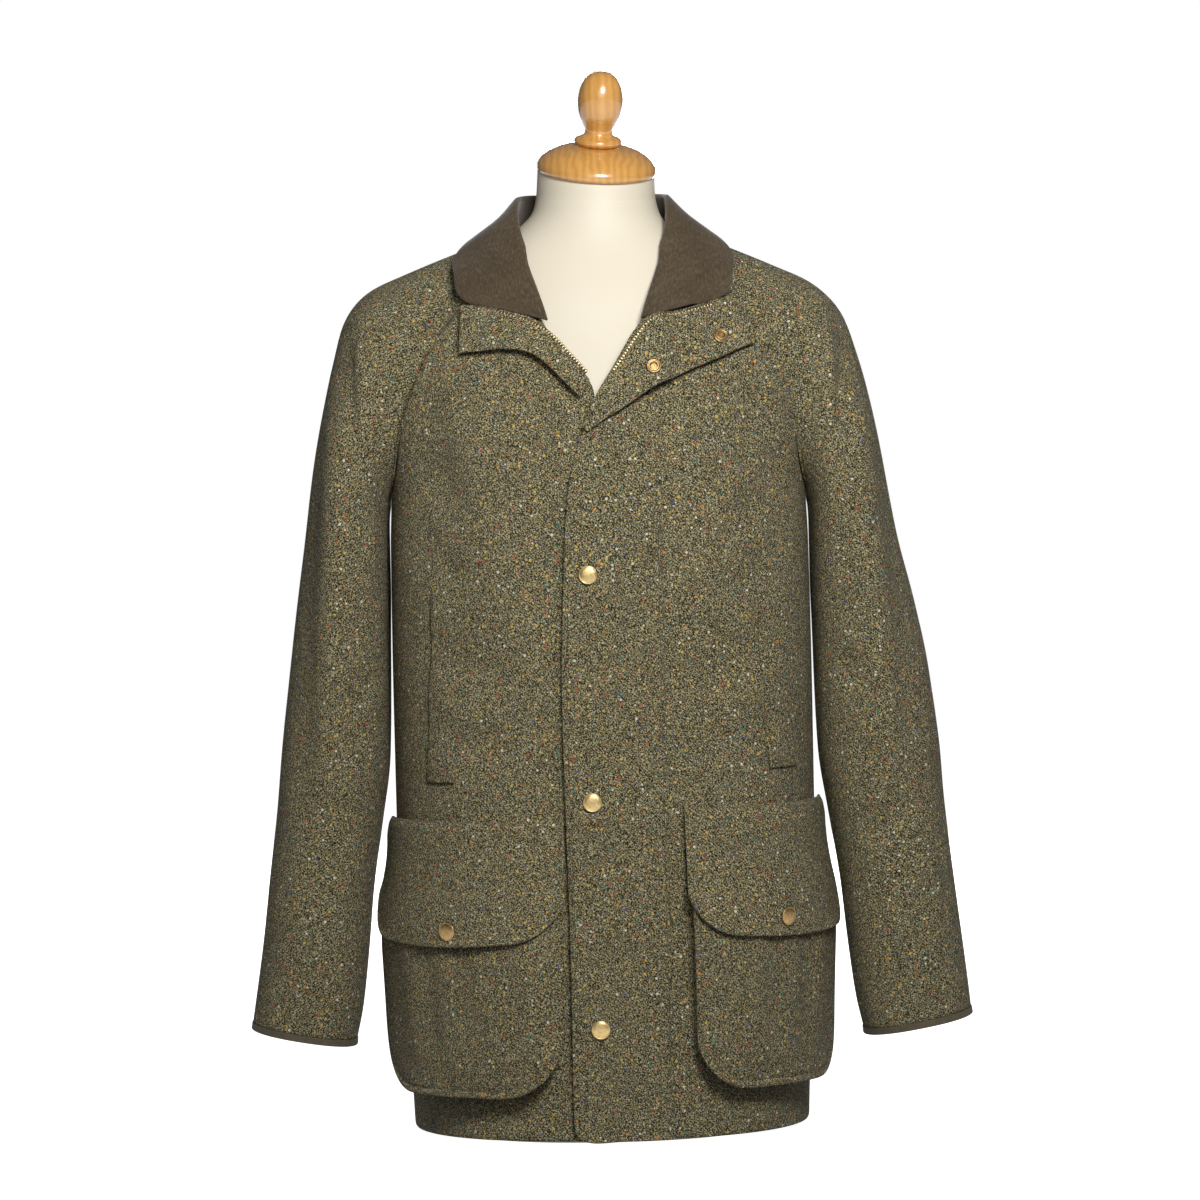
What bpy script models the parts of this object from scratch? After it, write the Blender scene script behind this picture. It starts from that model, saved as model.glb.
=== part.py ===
"""Field coat of green tweed, worn open at the neck by a limbless dress form.

Metres, +Z up, wearer's front towards -Y, wearer's left towards +X. The origin
is the middle of the dress form's flat base. Every cloth piece is a wall worked
out from a short table of sections, and what lies on a panel is made from that
panel's own surface, moved out.
"""

import math

import bmesh
import bpy
import numpy as np
from mathutils import Matrix, Vector

# ------------------------------------------------------------------ sizes ----
TWEED = 0.0020            # one layer of lined tweed
DOUBLE = 0.0026           # a folded edge: flap, lapel, collar
GAP = 0.0003              # between pieces at a seam
EDGE_LIFT = 0.0008        # a lapel or flap lies this far off what is under it
GIRTH_RADIUS = 0.28       # turns to metres round the body, about
HEM = 0.006               # hem above the floor
UNDERARM = 0.600          # height of the underarm point
V_FOOT = 0.698            # where the zip opens
ZIP_HALF = 0.0052         # half width of the closed zip, tape and teeth
SNAP_RADIUS = 0.0088
SNAP_RISE = 0.0036

# Coat body, by height: half width, depth to the front and to the back of the
# side line, and roundness (2 is an ellipse, more is squarer).
BODY_COLUMNS = ("height", "half", "front", "back", "round")
BODY = (
    (0.006, 0.1875, 0.166, 0.150, 2.30),
    (0.120, 0.1920, 0.166, 0.150, 2.30),
    (0.300, 0.1985, 0.160, 0.142, 2.40),
    (0.420, 0.1987, 0.154, 0.138, 2.50),
    (0.557, 0.1978, 0.148, 0.136, 2.60),
    (0.600, 0.1964, 0.144, 0.138, 2.60),
    (0.640, 0.1995, 0.139, 0.138, 2.60),
    (0.690, 0.2050, 0.130, 0.136, 2.50),
    (0.747, 0.2120, 0.112, 0.127, 2.30),
    (0.775, 0.2200, 0.098, 0.118, 2.15),
    (0.800, 0.2020, 0.085, 0.108, 2.00),
    (0.818, 0.1600, 0.074, 0.099, 1.95),
    (0.832, 0.1260, 0.068, 0.092, 2.00),
    (0.852, 0.0800, 0.062, 0.084, 2.00),
    (0.862, 0.0640, 0.056, 0.078, 2.00),
)

# Seams on the coat body, by height: distance from the middle of the raglan
# seam in front and behind.
RAGLAN_COLUMNS = ("height", "front", "back")
RAGLAN = (
    (0.600, 0.1963, 0.1963),
    (0.620, 0.1915, 0.1900),
    (0.657, 0.1860, 0.1790),
    (0.695, 0.1745, 0.1640),
    (0.740, 0.1535, 0.1420),
    (0.770, 0.1290, 0.1260),
    (0.805, 0.0990, 0.1020),
    (0.838, 0.0705, 0.0730),
    (0.852, 0.0600, 0.0580),
)

# Front edge of each front, by height: the zip line up to the foot of the V,
# then the roll line up to the neck.
EDGE_COLUMNS = ("height", "right", "left")
EDGE = (
    (0.006, 0.0045, 0.0155),
    (0.300, 0.0030, 0.0140),
    (0.600, 0.0000, 0.0110),
    (0.698, -0.0012, 0.0105),
    (0.714, -0.0105, 0.0150),
    (0.730, -0.0236, 0.0246),
    (0.746, -0.0358, 0.0340),
    (0.762, -0.0478, 0.0432),
    (0.793, -0.0592, 0.0575),
    (0.818, -0.0668, 0.0660),
    (0.838, -0.0700, 0.0700),
    (0.852, -0.0700, 0.0700),
)

# Sleeve rings, from the shoulder down to the cuff. Each ring lies in a plane
# through its under point and its outer point; the planes fan out round the
# underarm. The last two columns are what each sleeve adds at its outer point.
SLEEVE_COLUMNS = ("under_x", "under_z", "out_x", "out_z", "front", "back", "middle", "round", "left_wider", "right_wider")
SLEEVE = (
    (0.1980, 0.5975, 0.1240, 0.8340, 0.075, 0.080, 0.004, 2.05, 0.0000, 0.0000),
    (0.1982, 0.5950, 0.1680, 0.8150, 0.079, 0.088, 0.003, 2.15, 0.0000, 0.0050),
    (0.1975, 0.5915, 0.2060, 0.7960, 0.080, 0.088, 0.002, 2.20, 0.0010, 0.0085),
    (0.1982, 0.5860, 0.2320, 0.7690, 0.081, 0.088, 0.001, 2.25, 0.0010, 0.0050),
    (0.1988, 0.5770, 0.2480, 0.7280, 0.083, 0.088, 0.000, 2.30, 0.0000, 0.0010),
    (0.1990, 0.5650, 0.2590, 0.6850, 0.085, 0.088, 0.000, 2.35, 0.0000, 0.0000),
    (0.1990, 0.5460, 0.2700, 0.6280, 0.086, 0.088, 0.000, 2.40, 0.0000, 0.0000),
    (0.1990, 0.5150, 0.2795, 0.5600, 0.086, 0.087, 0.000, 2.40, 0.0020, 0.0000),
    (0.2000, 0.4700, 0.2890, 0.4950, 0.085, 0.085, 0.000, 2.40, 0.0080, 0.0000),
    (0.2010, 0.4150, 0.2975, 0.4300, 0.083, 0.082, -0.001, 2.40, 0.0120, 0.0000),
    (0.2030, 0.3550, 0.3055, 0.3670, 0.080, 0.078, -0.003, 2.35, 0.0120, 0.0000),
    (0.2115, 0.2950, 0.3115, 0.3070, 0.076, 0.073, -0.006, 2.30, 0.0100, 0.0000),
    (0.2210, 0.2330, 0.3195, 0.2460, 0.072, 0.068, -0.010, 2.30, 0.0080, 0.0000),
    (0.2270, 0.1730, 0.3265, 0.1880, 0.067, 0.063, -0.013, 2.30, 0.0075, 0.0000),
    (0.2340, 0.1180, 0.3345, 0.1345, 0.063, 0.059, -0.016, 2.30, 0.0055, 0.0000),
    (0.2398, 0.0910, 0.3385, 0.1090, 0.061, 0.057, -0.018, 2.30, 0.0040, 0.0000),
    (0.2405, 0.0845, 0.3395, 0.1025, 0.061, 0.057, -0.018, 2.30, 0.0040, 0.0000),
)
CUFF_BINDING_ROW = len(SLEEVE) - 2      # the binding covers the last step

# Dress form under the coat, by height; the neck leans a little to the left.
FORM_COLUMNS = ("height", "half", "front", "back", "round", "shift")
FORM = (
    (0.000, 0.1520, 0.130, 0.118, 2.20, 0.000),
    (0.060, 0.1560, 0.134, 0.120, 2.20, 0.000),
    (0.200, 0.1560, 0.128, 0.118, 2.20, 0.000),
    (0.360, 0.1480, 0.116, 0.112, 2.20, 0.000),
    (0.500, 0.1560, 0.124, 0.118, 2.20, 0.000),
    (0.620, 0.1680, 0.124, 0.122, 2.20, 0.000),
    (0.700, 0.1780, 0.110, 0.120, 2.20, 0.000),
    (0.760, 0.1760, 0.090, 0.110, 2.10, 0.000),
    (0.795, 0.1560, 0.0790, 0.1010, 2.00, 0.000),
    (0.818, 0.1280, 0.0706, 0.0950, 1.95, 0.000),
    (0.832, 0.1060, 0.0652, 0.0890, 2.00, 0.000),
    (0.852, 0.0740, 0.0590, 0.0740, 2.00, 0.001),
    (0.868, 0.0600, 0.0560, 0.0620, 2.00, 0.003),
    (0.884, 0.0562, 0.0550, 0.0570, 2.00, 0.004),
    (0.905, 0.0552, 0.0545, 0.0550, 2.00, 0.0045),
)
CAP_CENTRE = Vector((0.0050, -0.004, 0.9045))   # middle of the cap's underside
CAP_TILT = math.radians(14.0)                   # the cut of the neck faces forward
CAP_ROLL = math.radians(4.5)
CAP_RADIUS = 0.0565
NECK_TOP = 0.9045

# Storm flap: its free edge by height; its sewn edge runs straight.
FLAP_COLUMNS = ("height", "free")
FLAP = (
    (0.006, -0.0340),
    (0.045, -0.0350),
    (0.138, -0.0350),
    (0.320, -0.0370),
    (0.414, -0.0380),
    (0.506, -0.0350),
    (0.598, -0.0290),
    (0.639, -0.0205),
    (0.660, -0.0130),
    (0.680, -0.0050),
    (0.692, 0.0010),
)
FLAP_SEWN = 0.0580
FLAP_TOP = 0.692
SLIDER_X = 0.0047         # middle of the zip at the foot of the V

# Turned-back lapels: inner and outer edge, station by station from the V foot.
LAPEL_COLUMNS = ("in_x", "in_z", "out_x", "out_z")
LAPEL_RIGHT = (
    (-0.0060, 0.7060, -0.0140, 0.6900),
    (-0.0120, 0.7140, -0.0200, 0.6950),
    (-0.0246, 0.7295, -0.0310, 0.7060),
    (-0.0362, 0.7446, -0.0457, 0.7205),
    (-0.0490, 0.7580, -0.0600, 0.7305),
    (-0.0610, 0.7660, -0.0750, 0.7340),
    (-0.0764, 0.7715, -0.0900, 0.7347),
    (-0.0923, 0.7745, -0.1050, 0.7335),
    (-0.1070, 0.7770, -0.1160, 0.7335),
    (-0.1235, 0.7785, -0.1245, 0.7330),
)
LAPEL_LEFT = (
    (-0.0130, 0.6620, -0.0090, 0.6590),
    (-0.0065, 0.6780, 0.0070, 0.6690),
    (0.0030, 0.6960, 0.0216, 0.6765),
    (0.0150, 0.7146, 0.0366, 0.6864),
    (0.0248, 0.7310, 0.0516, 0.6960),
    (0.0350, 0.7476, 0.0675, 0.7040),
    (0.0480, 0.7600, 0.0850, 0.7120),
    (0.0640, 0.7655, 0.1020, 0.7190),
    (0.0834, 0.7700, 0.1180, 0.7255),
    (0.1010, 0.7750, 0.1320, 0.7320),
    (0.1310, 0.7830, 0.1470, 0.7380),
)

# Collar, station by station from the middle of the back to the zip, as a half:
# the seam at the neck, the roll, the middle of the fall and the outer edge.
COLLAR_BEHIND_COLUMNS = ("base", "roll", "fall", "edge")
COLLAR_BEHIND = (
    ((0.000, 0.0850, 0.8535), (0.000, 0.0830, 0.8830), (0.000, 0.1010, 0.8660), (0.000, 0.1110, 0.8330)),
    ((0.050, 0.0655, 0.8535), (0.0455, 0.0625, 0.8845), (0.060, 0.0760, 0.8650), (0.074, 0.0860, 0.8350)),
    ((0.0745, 0.0300, 0.8535), (0.0655, 0.0290, 0.8840), (0.084, 0.0380, 0.8640), (0.1010, 0.0460, 0.8400)),
    ((0.0795, -0.0050, 0.8525), (0.0705, -0.0040, 0.8800), (0.090, -0.0020, 0.8610), (0.1130, 0.0000, 0.8425)),
    ((0.0765, -0.0300, 0.8480), (0.0725, -0.0330, 0.8640), (0.097, -0.0340, 0.8510), (0.1250, -0.0320, 0.8320)),
)
# In front it lies on the fronts: roll and outer edge as places on the front.
COLLAR_FRONT_COLUMNS = ("roll_x", "roll_z", "edge_x", "edge_z", "bow")
COLLAR_FRONT = (
    (0.0680, 0.8350, 0.1305, 0.8180, 0.0010),
    (0.0655, 0.8165, 0.1296, 0.8060, 0.0010),
    (0.0575, 0.7927, 0.1273, 0.7905, 0.0010),
    (0.0515, 0.7750, 0.1185, 0.7810, 0.0000),
    (0.0480, 0.7630, 0.1075, 0.7795, -0.0015),
)

# Pockets: where each starts on the front, and how far round the side it runs,
# as a share of the way from the middle of the front to the middle of the back.
POCKET_COLUMNS = ("side", "start_x", "end_turn", "top", "flap_low", "bag_low")
POCKETS = (
    (-1, 0.0425, 0.455, 0.3020, 0.1870, 0.0470),
    (+1, 0.0740, 0.490, 0.3120, 0.1900, 0.0510),
)
BAG_DEPTH = 0.0200
BAG_WIDTH = 0.210         # round the front, over which its corners are drawn in
BAG_TAPER = 0.78          # share of the depth the bag loses towards its mouth
BAG_EASE = 0.001
BAG_DROP = 0.018          # the bag starts this far below the flap's seam
SEAT = 0.0006             # what lies on a panel stands this far off it
BAG_CORNER = 0.050        # rounding of the bag's corner towards the middle
BAG_CORNER_OUT = 0.068    # and towards the side
FLAP_CORNER = 0.038
FLAP_WIDTH = 0.216
FLAP_SAG = 0.008          # how much lower the flap's middle hangs than its ends

# The open zip halves run along these places on the front, from the V foot up.
ZIP_RIGHT = ((-0.0085, 0.7130), (-0.0245, 0.7310), (-0.0380, 0.7460), (-0.0530, 0.7570), (-0.0720, 0.7650),
             (-0.0915, 0.7710), (-0.1040, 0.7735))
ZIP_LEFT = ((0.0160, 0.7120), (0.0270, 0.7270), (0.0380, 0.7430), (0.0480, 0.7545), (0.0620, 0.7620),
            (0.0830, 0.7665), (0.1050, 0.7725))
ZIP_RIB = 0.0024
ZIP_TAPE = 0.0009
ZIP_WIDTH = 0.0060
ZIP_CLOSED_TOP = 0.683

# Flap snaps, pocket snaps and ring sockets: places on the front.
FLAP_SNAPS = ((-0.0112, 0.5280), (-0.0118, 0.3187), (-0.0087, 0.1100))
POCKET_SNAPS = ((-0.1345, 0.2020), (0.1505, 0.2085))
RING_SOCKETS = ((0.1165, 0.7460), (0.0537, 0.7190))

# Handwarmer welts: an upright lip on each front, leaning out as it goes down.
WELT_COLUMNS = ("side", "inner_x", "outer_x", "top", "low")
WELTS = (
    (-1, 0.1300, 0.1560, 0.5200, 0.3370),
    (+1, 0.1440, 0.1700, 0.5380, 0.3440),
)
WELT_LEAN = 0.008

# ------------------------------------------------------------ small tools ----


def read(rows, columns, name, at):
    """A smooth value from a table at a height (first column) or a row number."""
    column = columns.index(name)
    values = [row[column] for row in rows]
    keys = [row[0] for row in rows] if columns[0] == "height" else list(range(len(rows)))
    at = min(max(at, keys[0]), keys[-1])
    low = min(int(np.searchsorted(keys, at, side="right")) - 1, len(keys) - 2)
    step = keys[low + 1] - keys[low]
    share = (at - keys[low]) / step
    slopes = [slope_at(keys, values, low), slope_at(keys, values, low + 1)]
    a, b = values[low], values[low + 1]
    return (
        a * (1 + 2 * share) * (1 - share) ** 2
        + b * (3 - 2 * share) * share**2
        + step * slopes[0] * share * (1 - share) ** 2
        - step * slopes[1] * share**2 * (1 - share)
    )


def slope_at(keys, values, i):
    """Slope at a row that never overshoots its neighbours."""
    last = len(keys) - 1
    if i in (0, last):
        j = min(i, last - 1)
        return (values[j + 1] - values[j]) / (keys[j + 1] - keys[j])
    before = (values[i] - values[i - 1]) / (keys[i] - keys[i - 1])
    after = (values[i + 1] - values[i]) / (keys[i + 1] - keys[i])
    if before * after <= 0:
        return 0.0
    return 2 * before * after / (before + after)


def body_point(turn, height, out=0.0):
    """A place on the coat body. turn: 0 middle front, +-0.5 sides, +-1 back."""
    point = ring_point(BODY, BODY_COLUMNS, turn, height)
    if out == 0.0:
        return point
    step = 0.002
    across = ring_point(BODY, BODY_COLUMNS, turn + step, height) - ring_point(
        BODY, BODY_COLUMNS, turn - step, height
    )
    top = min(height + step, BODY[-1][0])
    low = max(height - step, BODY[0][0])
    up = ring_point(BODY, BODY_COLUMNS, turn, top) - ring_point(BODY, BODY_COLUMNS, turn, low)
    return point + across.cross(up).normalized() * out


def ring_point(rows, columns, turn, height):
    """A place on a ring whose quarter arcs are rounded squares."""
    half = read(rows, columns, "half", height)
    power = 2.0 / read(rows, columns, "round", height)
    sine, cosine = math.sin(turn * math.pi), math.cos(turn * math.pi)
    depth = read(rows, columns, "front" if cosine > 0 else "back", height)
    return Vector(
        (
            math.copysign(half * abs(sine) ** power, sine),
            -math.copysign(depth * abs(cosine) ** power, cosine),
            height,
        )
    )


def turn_of(x, height):
    """The turn in front that lies a distance x from the middle."""
    half = read(BODY, BODY_COLUMNS, "half", height)
    power = read(BODY, BODY_COLUMNS, "round", height) / 2.0
    share = min(abs(x) / half, 1.0)
    return math.copysign(math.asin(share**power) / math.pi, x)


def on_front(x, height, out=0.0):
    return body_point(turn_of(x, height), height, out)


def span(start, end, count):
    return [start + (end - start) * i / (count - 1) for i in range(count)]


def named(columns, row):
    """A table row as a dictionary of its named columns."""
    return dict(zip(columns, row))


def mix(a, b, share):
    return a + (b - a) * share


def ease(low, high, value):
    share = min(max((value - low) / (high - low), 0.0), 1.0)
    return share * share * (3 - 2 * share)


MATERIALS = {}


def material(name, colour, roughness, metallic=0.0):
    if name not in MATERIALS:
        made = bpy.data.materials.new(name)
        made.use_nodes = True
        shader = made.node_tree.nodes["Principled BSDF"]
        shader.inputs["Base Color"].default_value = (*colour, 1.0)
        shader.inputs["Roughness"].default_value = roughness
        shader.inputs["Metallic"].default_value = metallic
        MATERIALS[name] = made
    return MATERIALS[name]


def tweed():
    return material("tweed", (0.075, 0.072, 0.035), 0.95)


def moleskin():
    return material("moleskin", (0.055, 0.038, 0.022), 0.9)


def binding():
    return material("binding", (0.060, 0.045, 0.024), 0.85)


def brass():
    return material("antique_brass", (0.42, 0.27, 0.10), 0.35, 1.0)


def zip_tape():
    return material("zip_tape", (0.030, 0.026, 0.018), 0.9)


def cream():
    return material("form_cover", (0.80, 0.74, 0.62), 0.6)


def beech():
    return material("varnished_beech", (0.62, 0.27, 0.07), 0.25)


def add_object(name, mesh, finish):
    item = bpy.data.objects.new(name, mesh)
    item.data.materials.append(finish)
    COAT.objects.link(item)
    return item


def wall(name, outer, inner, finish, closed=False):
    """A cloth wall between two grids of points, open or closed into a tube."""
    shape = bmesh.new()
    rows, columns = len(outer), len(outer[0])
    face_out = [[shape.verts.new(point) for point in row] for row in outer]
    face_in = [[shape.verts.new(point) for point in row] for row in inner]
    steps = columns if closed else columns - 1
    for i in range(rows - 1):
        for j in range(steps):
            k = (j + 1) % columns
            shape.faces.new((face_out[i][j], face_out[i][k], face_out[i + 1][k], face_out[i + 1][j]))
            shape.faces.new((face_in[i][j], face_in[i + 1][j], face_in[i + 1][k], face_in[i][k]))
    for i, flip in ((0, True), (rows - 1, False)):
        for j in range(steps):
            k = (j + 1) % columns
            rim = (face_out[i][j], face_out[i][k], face_in[i][k], face_in[i][j])
            shape.faces.new(rim[::-1] if flip else rim)
    if not closed:
        for j, flip in ((0, False), (columns - 1, True)):
            for i in range(rows - 1):
                rim = (face_out[i][j], face_out[i + 1][j], face_in[i + 1][j], face_in[i][j])
                shape.faces.new(rim[::-1] if flip else rim)
    bmesh.ops.recalc_face_normals(shape, faces=shape.faces)
    if shape.calc_volume(signed=True) < 0:
        bmesh.ops.reverse_faces(shape, faces=shape.faces)
    bmesh.ops.triangulate(shape, faces=shape.faces, quad_method="SHORT_EDGE")
    mesh = bpy.data.meshes.new(name)
    shape.to_mesh(mesh)
    shape.free()
    mesh.shade_smooth()
    return add_object(name, mesh, finish)


def turned(name, profile, finish, place, ring=False, steps=24):
    """A piece turned on a lathe from a profile of (radius, height), top to bottom."""
    mesh = bpy.data.meshes.new(name)
    points = [(radius, 0.0, height) for radius, height in profile]
    edges = [(i, i + 1) for i in range(len(points) - 1)]
    if ring:
        edges.append((len(points) - 1, 0))
    mesh.from_pydata(points, edges, [])
    item = add_object(name, mesh, finish)
    screw = item.modifiers.new("turning", "SCREW")
    screw.axis = "Z"
    screw.steps = screw.render_steps = steps
    screw.use_merge_vertices = True
    screw.merge_threshold = 0.00005
    screw.use_smooth_shade = True
    item.matrix_world = place
    return item


# ------------------------------------------------------------ coat panels ----
BODY_ROWS = [0.006, 0.060, 0.120, 0.180, 0.240, 0.300, 0.360, 0.420, 0.480, 0.530, 0.570]
YOKE_ROWS = [0.600, 0.618, 0.640, 0.665, 0.690, 0.715, 0.740, 0.765, 0.790, 0.812]
FRONT_TIP = 0.8345        # top of the raglan seam in front
BACK_TIP = 0.852          # and behind


def front_seam_turn(height):
    """Side seam below the underarm, raglan seam above it."""
    if height <= UNDERARM:
        return 0.5
    return turn_of(read(RAGLAN, RAGLAN_COLUMNS, "front", height), height)


def back_seam_turn(height):
    if height <= UNDERARM:
        return 0.5
    return 1.0 - turn_of(read(RAGLAN, RAGLAN_COLUMNS, "back", height), height)


def half_gap(height):
    """Half a seam's gap as a share of a turn; more where the seam runs level."""
    level = ease(0.590, 0.600, height) * (1 - ease(0.615, 0.690, height))
    return 0.5 * GAP / GIRTH_RADIUS * (1 + 5 * level)


def front_panel(name, side, column):
    heights = BODY_ROWS + YOKE_ROWS + [0.826, FRONT_TIP]
    outer, inner = [], []
    for height in heights:
        start = turn_of(read(EDGE, EDGE_COLUMNS, column, height), height)
        end = side * (front_seam_turn(height) - half_gap(height))
        turns = span(start, end, 9)
        outer.append([body_point(turn, height) for turn in turns])
        inner.append([body_point(turn, height, -TWEED) for turn in turns])
    wall(name, outer, inner, tweed())


def back_panel():
    heights = BODY_ROWS + YOKE_ROWS + [0.832, 0.842, BACK_TIP]
    outer, inner = [], []
    for height in heights:
        end = back_seam_turn(height) + half_gap(height)
        turns = span(end, 2.0 - end, 17)
        outer.append([body_point(turn, height) for turn in turns])
        inner.append([body_point(turn, height, -TWEED) for turn in turns])
    wall("back", outer, inner, tweed())


# ---------------------------------------------------------------- sleeves ----
NECK_SHARE = 0.38         # share of the way round where the neck edge starts
CROWD = 1.3               # seam columns crowd towards the underarm
SLEEVE_GAP = 3            # the sleeve's half of the seam, in half gaps
UNDERARM_EASE = 0.0016    # the sleeve sits this far out of the armhole's foot


def seam_share(height, tip):
    """Share of the way round the sleeve of a place on the raglan seam."""
    return NECK_SHARE * ((height - UNDERARM) / (tip - UNDERARM)) ** (1 / CROWD)


def sleeve_shares():
    """Columns round the sleeve: one at each row of the panels it is sewn to."""
    front = [seam_share(height, FRONT_TIP) for height in YOKE_ROWS + [0.826, FRONT_TIP]]
    back = [1 - seam_share(height, BACK_TIP) for height in YOKE_ROWS[1:] + [0.832, 0.842, BACK_TIP]]
    return front + [0.46, 0.54] + back[::-1]


def seam_ring_point(side, share, out=0.0):
    """Where the sleeve is sewn on: underarm, front seam, neck edge, back seam."""
    nudge = SLEEVE_GAP * half_gap(BODY[-1][0])
    if share <= NECK_SHARE:
        height = mix(UNDERARM, FRONT_TIP, (share / NECK_SHARE) ** CROWD)
        turn = front_seam_turn(height) + nudge * min(share / 0.04, 1.0)
    elif share >= 1 - NECK_SHARE:
        height = mix(UNDERARM, BACK_TIP, ((1 - share) / NECK_SHARE) ** CROWD)
        turn = back_seam_turn(height) - nudge * min((1 - share) / 0.04, 1.0)
    else:
        across = (share - NECK_SHARE) / (1 - 2 * NECK_SHARE)
        height = mix(FRONT_TIP, BACK_TIP, across)
        turn = mix(front_seam_turn(FRONT_TIP) + nudge, back_seam_turn(BACK_TIP) - nudge, across)
    lift = UNDERARM_EASE * (1 - ease(0.05, 0.20, min(share, 1 - share)))
    return body_point(side * turn, height + lift, out) + Vector((side * lift, 0, 0))


def sleeve_ring_point(side, row, share, out):
    """A place on one ring of the sleeve."""
    value = {name: read(SLEEVE, SLEEVE_COLUMNS, name, row) for name in SLEEVE_COLUMNS}
    value["out_x"] += value["left_wider" if side > 0 else "right_wider"]
    under = Vector((value["under_x"], value["middle"], value["under_z"]))
    outside = Vector((value["out_x"], value["middle"], value["out_z"]))
    centre = (under + outside) / 2
    axis = (outside - under) / 2
    reach = axis.length
    axis = axis.normalized()
    angle = share * 2 * math.pi
    power = 2.0 / value["round"]
    along = -math.copysign(abs(math.cos(angle)) ** power, math.cos(angle))
    across = math.copysign(abs(math.sin(angle)) ** power, math.sin(angle))
    depth = value["front"] if across > 0 else value["back"]
    point = centre + axis * (along * (reach + out)) + Vector((0, -1, 0)) * (across * (depth + out))
    point.x *= side
    return point


def sleeve_point(side, row, share, out=0.0):
    """row -1 is the seam ring; from 0 on the rows of the SLEEVE table."""
    if row >= 1:
        return sleeve_ring_point(side, row, share, out)
    a = seam_ring_point(side, share, out)
    b = sleeve_ring_point(side, 0, share, out)
    c = sleeve_ring_point(side, 1, share, out)
    along = row + 1.0
    leave, arrive = b - a, (c - a) / 2
    if along <= 1.0:
        s = along
        return (
            a * ((1 + 2 * s) * (1 - s) ** 2) + b * ((3 - 2 * s) * s * s)
            + leave * (s * (1 - s) ** 2) - arrive * (s * s * (1 - s))
        )
    s = along - 1.0
    after = sleeve_ring_point(side, 2, share, out)
    return (
        b * ((1 + 2 * s) * (1 - s) ** 2) + c * ((3 - 2 * s) * s * s)
        + arrive * (s * (1 - s) ** 2) - (after - b) / 2 * (s * s * (1 - s))
    )


def sleeve(name, side):
    rows = [-1, -0.5, 0, 1, 2, 3, 4, 6, 8, 10, 12, 14, CUFF_BINDING_ROW - 0.02]
    shares = sleeve_shares()
    outer = [[sleeve_point(side, row, share) for share in shares] for row in rows]
    inner = [[sleeve_point(side, row, share, -TWEED) for share in shares] for row in rows]
    wall(name, outer, inner, tweed(), closed=True)


def cuff_binding(name, side):
    rows = [CUFF_BINDING_ROW + 0.03, CUFF_BINDING_ROW + 1]
    shares = sleeve_shares()
    outer = [[sleeve_point(side, row, share, 0.0004) for share in shares] for row in rows]
    inner = [[sleeve_point(side, row, share, -TWEED) for share in shares] for row in rows]
    wall(name, outer, inner, binding(), closed=True)


# ------------------------------------------------- storm flap and lapels ----
def flap_lift(x, height):
    """How far the flap's underside stands off the fronts: over the zip most."""
    free = read(FLAP, FLAP_COLUMNS, "free", height)
    share = (x - free) / (FLAP_SEWN - free)
    over_zip = SEAT + 0.0030 * math.sin(math.pi * min(max(1 - share, 0.0), 1.0) ** 0.8)
    near_slider = math.exp(-(((x - SLIDER_X) / 0.016) ** 2)) * ease(0.640, 0.682, height)
    return over_zip + 0.0026 * near_slider


def storm_flap():
    heights = [HEM, 0.012, 0.060, 0.120, 0.200, 0.280, 0.360, 0.440, 0.510, 0.570, 0.610, 0.640,
               0.660, 0.678, FLAP_TOP]
    outer, inner = [], []
    for height in heights:
        free = read(FLAP, FLAP_COLUMNS, "free", height)
        if height < 0.010:
            free += 0.008
        places = span(free, FLAP_SEWN, 7)
        outer.append([on_front(x, height, flap_lift(x, height) + DOUBLE) for x in places])
        inner.append([on_front(x, height, flap_lift(x, height)) for x in places])
    wall("storm_flap", outer, inner, tweed())


def lapel_place(rows, row, across):
    value = [read(rows, LAPEL_COLUMNS, name, row) for name in LAPEL_COLUMNS]
    return mix(value[0], value[2], across), mix(value[1], value[3], across)


def right_lapel_lift(x, height, across):
    return EDGE_LIFT + 0.0012 * across * (1 - across) * 4


def left_lapel_lift(x, height, across):
    """Over the flap's top near the V, then down onto the front."""
    over_flap = 1 - ease(0.060, 0.075, x)
    return EDGE_LIFT + 0.0068 * over_flap + 0.0012 * across * (1 - across) * 4


def lapel(name, rows, lift):
    steps = span(0, len(rows) - 1, len(rows) + 3)
    outer, inner = [], []
    for step in steps:
        line_out, line_in = [], []
        for across in span(0.0, 1.0, 5):
            x, height = lapel_place(rows, step, across)
            line_out.append(on_front(x, height, lift(x, height, across) + DOUBLE))
            line_in.append(on_front(x, height, lift(x, height, across)))
        outer.append(line_out)
        inner.append(line_in)
    wall(name, outer, inner, tweed())


# ----------------------------------------------------------------- collar ----
def collar_stations():
    """The half collar's net: each station holds base, roll, fall and edge."""
    net = [[Vector(named(COLLAR_BEHIND_COLUMNS, row)[name]) for name in COLLAR_BEHIND_COLUMNS]
           for row in COLLAR_BEHIND]
    for row in COLLAR_FRONT:
        at = named(COLLAR_FRONT_COLUMNS, row)
        middle_x = (at["roll_x"] + at["edge_x"]) / 2
        middle_z = (at["roll_z"] + at["edge_z"]) / 2 + at["bow"]
        net.append(
            [
                on_front(at["roll_x"] - 0.0030, at["roll_z"], 0.0010),
                on_front(at["roll_x"] + 0.0020, at["roll_z"], 0.0050),
                on_front(middle_x, middle_z, 0.0060),
                on_front(at["edge_x"], at["edge_z"], 0.0036),
            ]
        )
    return net


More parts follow.
